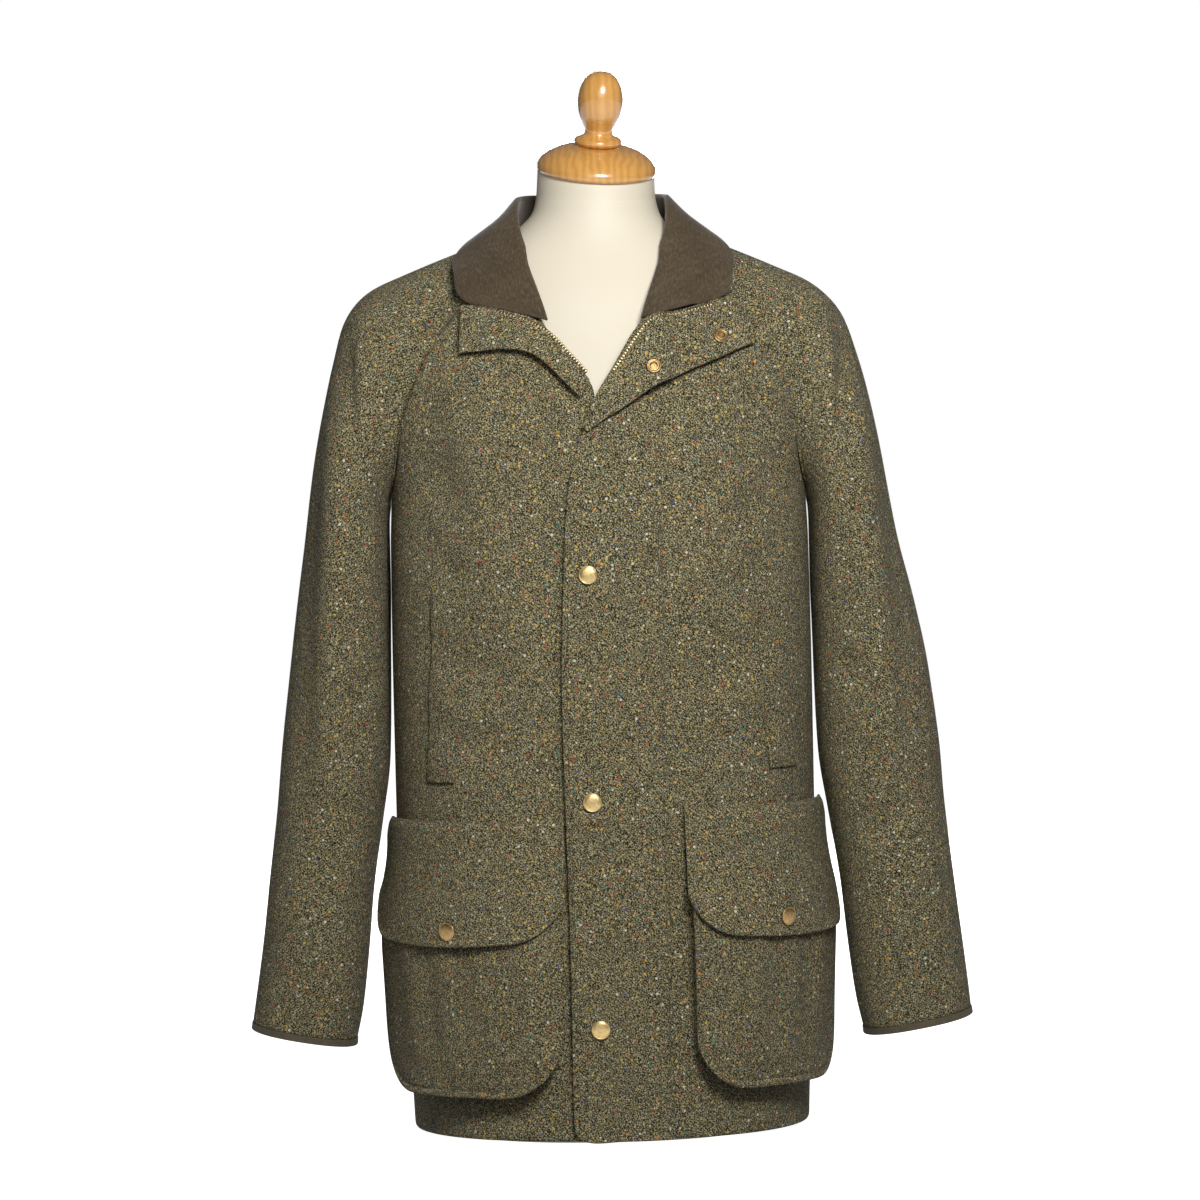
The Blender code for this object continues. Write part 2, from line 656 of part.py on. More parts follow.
def curve_through(points, at):
    """A smooth curve through points, one unit of at apart."""
    last = len(points) - 1
    low = min(int(at), last - 1)
    share = at - low
    p = [points[min(max(low + k, 0), last)] for k in (-1, 0, 1, 2)]
    leave, arrive = (p[2] - p[0]) / 2, (p[3] - p[1]) / 2
    return (
        p[1] * ((1 + 2 * share) * (1 - share) ** 2) + p[2] * ((3 - 2 * share) * share**2)
        + leave * (share * (1 - share) ** 2) - arrive * (share**2 * (1 - share))
    )


def collar_point(net, along, across):
    """along: 0 at the right zip end, 1 at the left one. across: neck to edge."""
    last = len(net) - 1
    place = (2 * along - 1) * last
    columns = []
    for k in range(4):
        line = [net[abs(i)][k] for i in range(-last, last + 1)]
        line = [Vector((point.x * (-1 if i < last else 1), point.y, point.z)) for i, point in enumerate(line)]
        columns.append(curve_through(line, place + last))
    return curve_through(columns, across * 3)


def collar():
    net = collar_stations()
    alongs = span(0.0, 1.0, 25)
    acrosses = [0.0, 0.18, 0.32, 0.42, 0.58, 0.80, 1.0]
    outer, inner = [], []
    step = 0.004
    for along in alongs:
        line_out, line_in = [], []
        for across in acrosses:
            point = collar_point(net, along, across)
            a0, a1 = max(along - step, 0), min(along + step, 1)
            c0, c1 = max(across - step, 0), min(across + step, 1)
            right = collar_point(net, a1, across) - collar_point(net, a0, across)
            down = collar_point(net, along, c1) - collar_point(net, along, c0)
            normal = down.cross(right).normalized()
            line_out.append(point)
            line_in.append(point - normal * DOUBLE)
        outer.append(line_out)
        inner.append(line_in)
    wall("collar", outer, inner, moleskin())


# ---------------------------------------------------------------- pockets ----
def pocket_turn(pocket, share, height):
    return pocket["side"] * mix(turn_of(pocket["start_x"], height), pocket["end_turn"], share)


def corner_inset(radius, rise):
    """How far a rounded corner draws the edge in at a height above the foot."""
    bend = max(radius - rise, 0.0)
    return radius - math.sqrt(max(radius**2 - bend**2, 0.0))


def bag_depth(pocket, height):
    """How far the bag's face stands off the front: flat at the top, full below."""
    low, top = pocket["bag_low"], pocket["top"] - BAG_DROP
    return BAG_DEPTH * (1 - BAG_TAPER * ease(0.13, top - low, height - low)) + BAG_EASE


def bag(pocket):
    """A bellows pocket: a face and three gussets, open to the front behind it."""
    low, top = pocket["bag_low"], pocket["top"] - BAG_DROP
    rises = [0.0, 0.005, 0.018, 0.040, BAG_CORNER_OUT, 0.110, 0.150, 0.195, top - low]
    layers = []
    for layer in (0, 1):
        trim = layer * TWEED
        grid = []
        for rise in [None] + rises:
            at_rim = rise is None
            rise = 0.0 if at_rim else rise
            rise = max(rise, trim)
            height = low + rise
            near = (corner_inset(BAG_CORNER, rise) + trim) / BAG_WIDTH
            far = (corner_inset(BAG_CORNER_OUT, rise) + trim) / BAG_WIDTH
            depth = SEAT if at_rim else bag_depth(pocket, height) - trim
            shares = [near] + span(near, 1 - far, 9) + [1 - far]
            line = []
            for k, share in enumerate(shares):
                out = SEAT if k in (0, len(shares) - 1) else depth
                line.append(body_point(pocket_turn(pocket, share, height), height, out))
            grid.append(line)
        layers.append(grid)
    name = "pocket_bag_left" if pocket["side"] > 0 else "pocket_bag_right"
    wall(name, layers[0], layers[1], tweed())


def pocket_flap_lift(pocket, height):
    """The flap leaves its seam and then lies over the bag."""
    over_bag = bag_depth(pocket, height) + 0.0016
    return mix(EDGE_LIFT, over_bag, ease(0.0, 0.75 * BAG_DROP, pocket["top"] - height))


def pocket_flap(pocket):
    top, low = pocket["top"], pocket["flap_low"]
    outer, inner = [], []
    shares = [0.0, 0.01, 0.05, 0.12] + span(0.25, 0.75, 5) + [0.88, 0.95, 0.99, 1.0]
    for drop in [0.0, 0.12, 0.35, 0.6, 0.8, 1.0]:
        line_out, line_in = [], []
        for share in shares:
            reach = min(share, 1 - share) * FLAP_WIDTH
            rise = corner_inset(FLAP_CORNER, reach)
            sag = FLAP_SAG * (2 * abs(share - 0.5)) ** 2
            height = mix(top, low + rise + sag, drop)
            lift = pocket_flap_lift(pocket, height)
            turn = pocket_turn(pocket, mix(-0.012, 1.012, share), height)
            line_out.append(body_point(turn, height, lift + DOUBLE))
            line_in.append(body_point(turn, height, lift))
        outer.append(line_out)
        inner.append(line_in)
    name = "pocket_flap_left" if pocket["side"] > 0 else "pocket_flap_right"
    wall(name, outer, inner, tweed())


def welt(side, inner_x, outer_x, top, low):
    """The lip of one handwarmer pocket."""
    outer, inner = [], []
    for height in span(low, top, 6):
        share = (top - height) / (top - low)
        places = span(inner_x + WELT_LEAN * share, outer_x + WELT_LEAN * share, 4)
        places = [side * x for x in places]
        outer.append([on_front(x, height, SEAT + TWEED) for x in places])
        inner.append([on_front(x, height, SEAT) for x in places])
    wall("welt_left" if side > 0 else "welt_right", outer, inner, tweed())


# ------------------------------------------------------- zip and fasteners ----
def zip_profile(centre, across, normal):
    """Section of a zip strip: flat tape with the chain's rib along one edge."""
    rib, tape = ZIP_RIB, ZIP_TAPE
    places = ((-0.0013, 0.0), (-0.0013, rib), (0.0013, rib), (0.0013, tape), (ZIP_WIDTH, tape), (ZIP_WIDTH, 0.0))
    return [centre + across * along + normal * rise for along, rise in places]


def loft(name, rings, finish):
    """A closed bar through sections of equal count, capped at both ends."""
    shape = bmesh.new()
    rows = [[shape.verts.new(point) for point in ring] for ring in rings]
    count = len(rings[0])
    for low, high in zip(rows, rows[1:]):
        for k in range(count):
            after = (k + 1) % count
            shape.faces.new((low[k], low[after], high[after], high[k]))
    shape.faces.new(rows[0])
    shape.faces.new(rows[-1][::-1])
    bmesh.ops.recalc_face_normals(shape, faces=shape.faces)
    mesh = bpy.data.meshes.new(name)
    shape.to_mesh(mesh)
    shape.free()
    return add_object(name, mesh, finish)


def zip_half(name, line, lift):
    """One side of the open zip, lying along the lapel's inner edge."""
    rings = []
    last = len(line) - 1
    for step in span(0, last, 3 * last + 1):
        x, height = place_on(line, step)
        ahead, behind = place_on(line, min(step + 0.1, last)), place_on(line, max(step - 0.1, 0))
        point = on_front(x, height, lift(x, height))
        normal = front_normal(x, height)
        along = on_front(*ahead) - on_front(*behind)
        across = along.cross(normal).normalized()
        if across.z > 0:
            across = -across
        rings.append(zip_profile(point, across, normal))
    loft(name, rings, zip_tape())


def place_on(line, step):
    """A place on a smooth line through (x, height) points."""
    columns = ("row", "x", "height")
    rows = [(i, x, height) for i, (x, height) in enumerate(line)]
    return read(rows, columns, "x", step), read(rows, columns, "height", step)


def zip_chain():
    """The closed zip, from the hem up to the slider, between the front edges."""
    rings = []
    for height in BODY_ROWS + [0.600, 0.640, 0.665, ZIP_CLOSED_TOP]:
        height = max(height, HEM + 0.006)
        middle = (read(EDGE, EDGE_COLUMNS, "right", height) + read(EDGE, EDGE_COLUMNS, "left", height)) / 2
        half = ZIP_HALF
        ring = []
        for across, rise in ((-half, -0.0016), (-half, -0.0008), (-0.003, 0.0004), (0.003, 0.0004),
                             (half, -0.0008), (half, -0.0016)):
            ring.append(on_front(middle + across, height, rise - 0.00001))
        rings.append(ring)
    loft("zip_closed", rings, zip_tape())


def block(name, size, point, normal, finish, bevel):
    """A small bevelled block lying on the cloth, its length up the front."""
    bpy.ops.mesh.primitive_cube_add(size=1.0)
    item = bpy.context.object
    item.name = item.data.name = name
    item.data.transform(Matrix.Diagonal((*size, 1.0)))
    item.data.materials.append(finish)
    edge = item.modifiers.new("edges", "BEVEL")
    edge.width = bevel
    edge.segments = 2
    item.matrix_world = facing(point, normal)
    for held in list(item.users_collection):
        held.objects.unlink(item)
    COAT.objects.link(item)


def slider():
    """The slider at the foot of the V and its tab, lying under the storm flap."""
    height = ZIP_CLOSED_TOP + 0.0068
    body = (0.0088, 0.0120, 0.0036)
    tab = (0.0046, 0.0220, 0.0009)
    block("zip_slider", body, on_front(SLIDER_X, height, 0.0004), front_normal(SLIDER_X, height), brass(), 0.0009)
    hang = height - body[1] / 2 - tab[1] / 2 - GAP
    block("zip_pull", tab, on_front(SLIDER_X, hang, 0.0014), front_normal(SLIDER_X, hang), brass(), 0.0003)


def facing(point, normal, up=Vector((0, 0, 1))):
    """A place whose Z axis is the normal of the cloth it sits on."""
    z = normal.normalized()
    x = up.cross(z).normalized()
    y = z.cross(x)
    return Matrix.Translation(point) @ Matrix((x, y, z)).transposed().to_4x4()


def front_normal(x, height):
    return (on_front(x, height, 0.01) - on_front(x, height)).normalized()


def snap_cap(name, point, normal, radius=SNAP_RADIUS):
    """A domed cap with a rolled rim."""
    profile = [(0.0, SNAP_RISE)]
    profile += [
        (radius * 0.80 * math.sin(angle), SNAP_RISE * (0.62 + 0.38 * math.cos(angle)))
        for angle in span(math.radians(25), math.radians(90), 4)
    ]
    profile += [(radius * 0.93, SNAP_RISE * 0.72), (radius, SNAP_RISE * 0.42)]
    profile += [(radius * 0.95, 0.0), (0.0, 0.0)]
    turned(name, profile, brass(), facing(point, normal), steps=16)


def ring_socket(name, point, normal):
    """An open ring socket, seen on the flap's turned-back inner side."""
    outer, hole, rise = 0.0070, 0.0030, 0.0020
    profile = [(hole, rise * 0.6), (hole + 0.0006, rise), (outer - 0.0012, rise), (outer, rise * 0.55)]
    profile += [(outer, 0.0), (hole, 0.0)]
    turned(name, profile, brass(), facing(point, normal), ring=True, steps=16)


# -------------------------------------------------------------- dress form ----
def dress_form():
    heights = [0.000, 0.030, 0.080, 0.140, 0.200, 0.280, 0.360, 0.430, 0.500, 0.560, 0.620, 0.660, 0.700,
               0.735, 0.760, 0.780, 0.795, 0.808, 0.818, 0.832, 0.843, 0.852, 0.860, 0.868, 0.876, 0.884,
               NECK_TOP]
    shape = bmesh.new()
    rings = []
    for height in heights:
        shift = read(FORM, FORM_COLUMNS, "shift", height)
        ring = []
        for step in range(32):
            point = ring_point(FORM, FORM_COLUMNS, -1 + step / 16, height)
            point.x += shift
            if height > 0.884:
                point.z += (point.x - CAP_CENTRE.x) * -math.tan(CAP_ROLL)
                point.z += (point.y - CAP_CENTRE.y) * math.tan(CAP_TILT)
            ring.append(shape.verts.new(point))
        rings.append(ring)
    for low, high in zip(rings, rings[1:]):
        for step in range(32):
            after = (step + 1) % 32
            shape.faces.new((low[step], low[after], high[after], high[step]))
    shape.faces.new(rings[0][::-1])
    shape.faces.new(rings[-1])
    bmesh.ops.recalc_face_normals(shape, faces=shape.faces)
    mesh = bpy.data.meshes.new("form_body")
    shape.to_mesh(mesh)
    shape.free()
    mesh.shade_smooth()
    add_object("form_body", mesh, cream())


def cap_place(lift=0.0):
    turn = Matrix.Rotation(CAP_ROLL, 4, "Y") @ Matrix.Rotation(CAP_TILT, 4, "X")
    return Matrix.Translation(CAP_CENTRE) @ turn @ Matrix.Translation((0, 0, lift))


def neck_cap():
    profile = [
        (0.0, 0.0265), (0.0210, 0.0265), (0.0330, 0.0245), (0.0430, 0.0205), (0.0510, 0.0150),
        (0.0555, 0.0090), (CAP_RADIUS, 0.0045), (0.0555, 0.0005), (0.0, 0.0005),
    ]
    turned("neck_cap", profile, beech(), cap_place())


def finial():
    profile = [
        (0.0, 0.0975), (0.0070, 0.0962), (0.0135, 0.0920), (0.0185, 0.0840), (0.0212, 0.0735),
        (0.0210, 0.0640), (0.0190, 0.0550), (0.0155, 0.0470), (0.0128, 0.0415), (0.0135, 0.0375),
        (0.0190, 0.0350), (0.0222, 0.0310), (0.0205, 0.0272), (0.0, 0.0272),
    ]
    turned("finial", profile, beech(), cap_place())


# ------------------------------------------------------------------ build ----
for item in list(bpy.data.objects):
    bpy.data.objects.remove(item, do_unlink=True)

COAT = bpy.data.collections.new("field_coat_on_dress_form")
bpy.context.scene.collection.children.link(COAT)

dress_form()
neck_cap()
finial()
front_panel("front_right", -1, "right")
front_panel("front_left", +1, "left")
back_panel()
sleeve("sleeve_right", -1)
sleeve("sleeve_left", +1)
cuff_binding("cuff_binding_right", -1)
cuff_binding("cuff_binding_left", +1)
storm_flap()
lapel("lapel_right", LAPEL_RIGHT, right_lapel_lift)
lapel("lapel_left", LAPEL_LEFT, left_lapel_lift)
collar()
POCKETS = [named(POCKET_COLUMNS, row) for row in POCKETS]
for pocket in POCKETS:
    bag(pocket)
    pocket_flap(pocket)
for row in WELTS:
    welt(**named(WELT_COLUMNS, row))
zip_half("zip_half_right", ZIP_RIGHT, lambda x, height: 0.0048)
zip_half("zip_half_left", ZIP_LEFT, lambda x, height: left_lapel_lift(x, height, 0.1) + DOUBLE + 0.0008)
zip_chain()
slider()
for place, (x, height) in zip(("top", "middle", "low"), FLAP_SNAPS):
    point = on_front(x, height, flap_lift(x, height) + DOUBLE + SEAT)
    snap_cap("flap_snap_" + place, point, front_normal(x, height))
for name, pocket, (x, height) in zip(("right", "left"), POCKETS, POCKET_SNAPS):
    point = on_front(x, height, pocket_flap_lift(pocket, height) + DOUBLE + 1.6 * SEAT)
    snap_cap("pocket_snap_" + name, point, front_normal(x, height))
for place, (x, height) in zip(("outer", "inner"), RING_SOCKETS):
    point = on_front(x, height, left_lapel_lift(x, height, 0.5) + DOUBLE + GAP)
    ring_socket("ring_socket_" + place, point, front_normal(x, height))
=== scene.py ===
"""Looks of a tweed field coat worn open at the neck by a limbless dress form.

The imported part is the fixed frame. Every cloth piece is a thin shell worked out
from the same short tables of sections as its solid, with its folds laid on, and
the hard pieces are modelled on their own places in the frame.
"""

import math
from functools import partial

import bmesh
import bpy
import numpy as np
from mathutils import Matrix, Vector
from mathutils.bvhtree import BVHTree


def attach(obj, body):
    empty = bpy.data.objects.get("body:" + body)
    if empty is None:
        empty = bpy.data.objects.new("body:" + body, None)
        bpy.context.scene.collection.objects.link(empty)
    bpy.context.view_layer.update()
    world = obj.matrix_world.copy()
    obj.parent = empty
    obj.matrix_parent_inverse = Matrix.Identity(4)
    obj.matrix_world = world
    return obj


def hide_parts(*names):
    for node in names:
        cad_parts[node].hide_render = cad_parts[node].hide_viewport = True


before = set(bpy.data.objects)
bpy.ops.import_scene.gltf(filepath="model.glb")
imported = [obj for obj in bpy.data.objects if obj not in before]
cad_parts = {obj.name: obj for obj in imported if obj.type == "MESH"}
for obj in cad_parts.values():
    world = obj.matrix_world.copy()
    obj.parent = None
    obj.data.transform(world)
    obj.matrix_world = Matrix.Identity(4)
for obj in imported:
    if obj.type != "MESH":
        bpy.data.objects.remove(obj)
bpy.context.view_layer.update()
bpy.ops.object.select_all(action="DESELECT")

# ------------------------------------------------------------------ sizes ----
TWEED = 0.0020            # one layer of lined tweed
DOUBLE = 0.0026           # a folded edge: flap, lapel, collar
GAP = 0.0003              # between pieces at a seam
EDGE_LIFT = 0.0008        # a lapel or flap lies this far off what is under it
SEAT = 0.0006             # a piece sewn or pressed flat lies this far off the cloth
BAG_CLOTH = 0.0016        # the single cloth of a pocket bag
FLAP_SEWN_EDGE = 0.0010   # the storm flap, pressed thin where it is sewn on
BINDING_OUT = 0.0007      # the cuff's tape stands out this far from the sleeve
BINDING_WALL = 0.0032     # tape inside and out, with the sleeve's cloth between
GIRTH_RADIUS = 0.28       # turns a gap in metres into a share of the way round
HEM = 0.006
UNDERARM = 0.600
SNAP_RADIUS = 0.0088
SNAP_RISE = 0.0036
RING_LIFT = 0.0007        # a ring socket's foot stands off the lapel
STITCH_PITCH = 0.0032
STITCH = 0.0024
THREAD_WIDTH = 0.0007
TOOTH_PITCH = 0.0032
TOOTH = (0.0021, 0.0034, 0.0019)
ZIP_TAPE_AND_SHADE_REACH = 0.0042   # the near-black tape, partly painted shadow of the gap below the teeth, shows this far from the lapel's edge
ZIP_ON_RIGHT = 0.0048     # the right half's height off the front
CREASE = 35.0             # degrees: sharper edges of turned pieces stay crisp
NECK_CREASE = 50.0        # the same for the cut neck of the form

BODY_COLUMNS = ("height", "half", "front", "back", "round")
BODY = (
    (0.006, 0.1875, 0.166, 0.150, 2.30),
    (0.120, 0.1920, 0.166, 0.150, 2.30),
    (0.300, 0.1985, 0.160, 0.142, 2.40),
    (0.420, 0.1987, 0.154, 0.138, 2.50),
    (0.557, 0.1978, 0.148, 0.136, 2.60),
    (0.600, 0.1964, 0.144, 0.138, 2.60),
    (0.640, 0.1995, 0.139, 0.138, 2.60),
    (0.690, 0.2050, 0.130, 0.136, 2.50),
    (0.747, 0.2120, 0.112, 0.127, 2.30),
    (0.775, 0.2200, 0.098, 0.118, 2.15),
    (0.800, 0.2020, 0.085, 0.108, 2.00),
    (0.818, 0.1600, 0.074, 0.099, 1.95),
    (0.832, 0.1260, 0.068, 0.092, 2.00),
    (0.852, 0.0800, 0.062, 0.084, 2.00),
    (0.862, 0.0640, 0.056, 0.078, 2.00),
)
RAGLAN_COLUMNS = ("height", "front", "back")
RAGLAN = (
    (0.600, 0.1963, 0.1963),
    (0.620, 0.1915, 0.1900),
    (0.657, 0.1860, 0.1790),
    (0.695, 0.1745, 0.1640),
    (0.740, 0.1535, 0.1420),
    (0.770, 0.1290, 0.1260),
    (0.805, 0.0990, 0.1020),
    (0.838, 0.0705, 0.0730),
    (0.852, 0.0600, 0.0580),
)
EDGE_COLUMNS = ("height", "right", "left")
EDGE = (
    (0.006, 0.0045, 0.0155),
    (0.300, 0.0030, 0.0140),
    (0.600, 0.0000, 0.0110),
    (0.698, -0.0012, 0.0105),
    (0.714, -0.0105, 0.0150),
    (0.730, -0.0236, 0.0246),
    (0.746, -0.0358, 0.0340),
    (0.762, -0.0478, 0.0432),
    (0.793, -0.0592, 0.0575),
    (0.818, -0.0668, 0.0660),
    (0.838, -0.0700, 0.0700),
    (0.852, -0.0700, 0.0700),
)
SLEEVE_COLUMNS = ("under_x", "under_z", "out_x", "out_z", "front", "back", "middle", "round",
                  "left_wider", "right_wider")
SLEEVE = (
    (0.1980, 0.5975, 0.1240, 0.8340, 0.075, 0.080, 0.004, 2.05, 0.0000, 0.0000),
    (0.1982, 0.5950, 0.1680, 0.8150, 0.079, 0.088, 0.003, 2.15, 0.0000, 0.0050),
    (0.1975, 0.5915, 0.2060, 0.7960, 0.080, 0.088, 0.002, 2.20, 0.0010, 0.0085),
    (0.1982, 0.5860, 0.2320, 0.7690, 0.081, 0.088, 0.001, 2.25, 0.0010, 0.0050),
    (0.1988, 0.5770, 0.2480, 0.7280, 0.083, 0.088, 0.000, 2.30, 0.0000, 0.0010),
    (0.1990, 0.5650, 0.2590, 0.6850, 0.085, 0.088, 0.000, 2.35, 0.0000, 0.0000),
    (0.1990, 0.5460, 0.2700, 0.6280, 0.086, 0.088, 0.000, 2.40, 0.0000, 0.0000),
    (0.1990, 0.5150, 0.2795, 0.5600, 0.086, 0.087, 0.000, 2.40, 0.0020, 0.0000),
    (0.2000, 0.4700, 0.2890, 0.4950, 0.085, 0.085, 0.000, 2.40, 0.0080, 0.0000),
    (0.2010, 0.4150, 0.2975, 0.4300, 0.083, 0.082, -0.001, 2.40, 0.0120, 0.0000),
    (0.2030, 0.3550, 0.3055, 0.3670, 0.080, 0.078, -0.003, 2.35, 0.0120, 0.0000),
    (0.2115, 0.2950, 0.3115, 0.3070, 0.076, 0.073, -0.006, 2.30, 0.0100, 0.0000),
    (0.2210, 0.2330, 0.3195, 0.2460, 0.072, 0.068, -0.010, 2.30, 0.0080, 0.0000),
    (0.2270, 0.1730, 0.3265, 0.1880, 0.067, 0.063, -0.013, 2.30, 0.0075, 0.0000),
    (0.2340, 0.1180, 0.3345, 0.1345, 0.063, 0.059, -0.016, 2.30, 0.0055, 0.0000),
    (0.2398, 0.0910, 0.3385, 0.1090, 0.061, 0.057, -0.018, 2.30, 0.0040, 0.0000),
    (0.2405, 0.0845, 0.3395, 0.1025, 0.061, 0.057, -0.018, 2.30, 0.0040, 0.0000),
)
CUFF_BINDING_ROW = len(SLEEVE) - 2
FORM_COLUMNS = ("height", "half", "front", "back", "round", "shift")
FORM = (
    (0.000, 0.1520, 0.130, 0.118, 2.20, 0.000),
    (0.060, 0.1560, 0.134, 0.120, 2.20, 0.000),
    (0.200, 0.1560, 0.128, 0.118, 2.20, 0.000),
    (0.360, 0.1480, 0.116, 0.112, 2.20, 0.000),
    (0.500, 0.1560, 0.124, 0.118, 2.20, 0.000),
    (0.620, 0.1680, 0.124, 0.122, 2.20, 0.000),
    (0.700, 0.1780, 0.110, 0.120, 2.20, 0.000),
    (0.760, 0.1760, 0.090, 0.110, 2.10, 0.000),
    (0.795, 0.1560, 0.0790, 0.1010, 2.00, 0.000),
    (0.818, 0.1280, 0.0706, 0.0950, 1.95, 0.000),
    (0.832, 0.1060, 0.0652, 0.0890, 2.00, 0.000),
    (0.852, 0.0740, 0.0590, 0.0740, 2.00, 0.001),
    (0.868, 0.0600, 0.0560, 0.0620, 2.00, 0.003),
    (0.884, 0.0562, 0.0550, 0.0570, 2.00, 0.004),
    (0.905, 0.0552, 0.0545, 0.0550, 2.00, 0.0045),
)
CAP_CENTRE = Vector((0.0050, -0.004, 0.9045))
CAP_TILT = math.radians(14.0)
CAP_ROLL = math.radians(4.5)
CAP_RADIUS = 0.0565
NECK_TOP = 0.9045
FLAP_COLUMNS = ("height", "free")
FLAP = (
    (0.006, -0.0340),
    (0.045, -0.0350),
    (0.138, -0.0350),
    (0.320, -0.0370),
    (0.414, -0.0380),
    (0.506, -0.0350),
    (0.598, -0.0290),
    (0.639, -0.0205),
    (0.660, -0.0130),
    (0.680, -0.0050),
    (0.692, 0.0010),
)
FLAP_SEWN = 0.0580
FLAP_TOP = 0.692
SLIDER_X = 0.0047
LAPEL_COLUMNS = ("in_x", "in_z", "out_x", "out_z")
LAPEL_RIGHT = (
    (-0.0060, 0.7060, -0.0140, 0.6900),
    (-0.0120, 0.7140, -0.0200, 0.6950),
    (-0.0246, 0.7295, -0.0310, 0.7060),
    (-0.0362, 0.7446, -0.0457, 0.7205),
    (-0.0490, 0.7580, -0.0600, 0.7305),
    (-0.0610, 0.7660, -0.0750, 0.7340),
    (-0.0764, 0.7715, -0.0900, 0.7347),
    (-0.0923, 0.7745, -0.1050, 0.7335),
    (-0.1070, 0.7770, -0.1160, 0.7335),
    (-0.1235, 0.7785, -0.1245, 0.7330),
)
LAPEL_LEFT = (
    (-0.0130, 0.6620, -0.0090, 0.6590),
    (-0.0065, 0.6780, 0.0070, 0.6690),
    (0.0030, 0.6960, 0.0216, 0.6765),
    (0.0150, 0.7146, 0.0366, 0.6864),
    (0.0248, 0.7310, 0.0516, 0.6960),
    (0.0350, 0.7476, 0.0675, 0.7040),
    (0.0480, 0.7600, 0.0850, 0.7120),
    (0.0640, 0.7655, 0.1020, 0.7190),
    (0.0834, 0.7700, 0.1180, 0.7255),
    (0.1010, 0.7750, 0.1320, 0.7320),
    (0.1310, 0.7830, 0.1470, 0.7380),
)
COLLAR_BEHIND = (
    ((0.000, 0.0850, 0.8535), (0.000, 0.0830, 0.8830), (0.000, 0.1010, 0.8660), (0.000, 0.1110, 0.8330)),
    ((0.050, 0.0655, 0.8535), (0.0455, 0.0625, 0.8845), (0.060, 0.0760, 0.8650), (0.074, 0.0860, 0.8350)),
    ((0.0745, 0.0300, 0.8535), (0.0655, 0.0290, 0.8840), (0.084, 0.0380, 0.8640), (0.1010, 0.0460, 0.8400)),
    ((0.0795, -0.0050, 0.8525), (0.0705, -0.0040, 0.8800), (0.090, -0.0020, 0.8610), (0.1130, 0.0000, 0.8425)),
    ((0.0765, -0.0300, 0.8480), (0.0725, -0.0330, 0.8640), (0.097, -0.0340, 0.8510), (0.1250, -0.0320, 0.8320)),
)
COLLAR_FRONT_COLUMNS = ("roll_x", "roll_z", "edge_x", "edge_z", "bow")
COLLAR_FRONT = (
    (0.0680, 0.8350, 0.1305, 0.8180, 0.0010),
    (0.0655, 0.8165, 0.1296, 0.8060, 0.0010),
    (0.0575, 0.7927, 0.1273, 0.7905, 0.0010),
    (0.0515, 0.7750, 0.1185, 0.7810, 0.0000),
    (0.0480, 0.7630, 0.1075, 0.7795, -0.0015),
)
POCKET_COLUMNS = ("side", "start_x", "end_turn", "top", "flap_low", "bag_low")
POCKETS = (
    (-1, 0.0425, 0.455, 0.3020, 0.1870, 0.0470),
    (+1, 0.0740, 0.490, 0.3120, 0.1900, 0.0510),
)
BAG_DEPTH = 0.0200
BAG_WIDTH = 0.210
BAG_TAPER = 0.78
BAG_EASE = 0.001
BAG_DROP = 0.018
BAG_CORNER = 0.050
BAG_CORNER_OUT = 0.068
BAG_WALL = 0.0028         # of the flat outline, the part that folds in as the gusset
FLAP_HEM_CORNER = 0.013
FLAP_CORNER = 0.038
FLAP_WIDTH = 0.216
FLAP_SAG = 0.008
ZIP_COLUMNS = ("x", "z")
ZIP_RIGHT = ((-0.0085, 0.7130), (-0.0245, 0.7310), (-0.0380, 0.7460), (-0.0530, 0.7570), (-0.0720, 0.7650),
             (-0.0915, 0.7710), (-0.1040, 0.7735))
ZIP_LEFT = ((0.0160, 0.7120), (0.0270, 0.7270), (0.0380, 0.7430), (0.0480, 0.7545), (0.0620, 0.7620),
            (0.0830, 0.7665), (0.1050, 0.7725))
FLAP_SNAPS = ((-0.0112, 0.5280), (-0.0118, 0.3187), (-0.0087, 0.1100))
POCKET_SNAPS = ((-0.1345, 0.2020), (0.1505, 0.2085))
RING_SOCKETS = ((0.1165, 0.7460), (0.0537, 0.7190))
WELT_COLUMNS = ("side", "inner_x", "outer_x", "top", "low")
WELTS = (
    (-1, 0.1300, 0.1560, 0.5200, 0.3370),
    (+1, 0.1440, 0.1700, 0.5380, 0.3440),
)
WELT_LEAN = 0.008
FRONT_TIP = 0.8345        # heights where the raglan seam meets the neck
BACK_TIP = 0.852
NECK_SHARE = 0.38         # share of the sleeve's seam below each tip
CROWD = 1.3               # the seam's points crowd toward the underarm
SLEEVE_GAP = 3            # the sleeve stands off the body by this many half gaps
UNDERARM_EASE = 0.0016

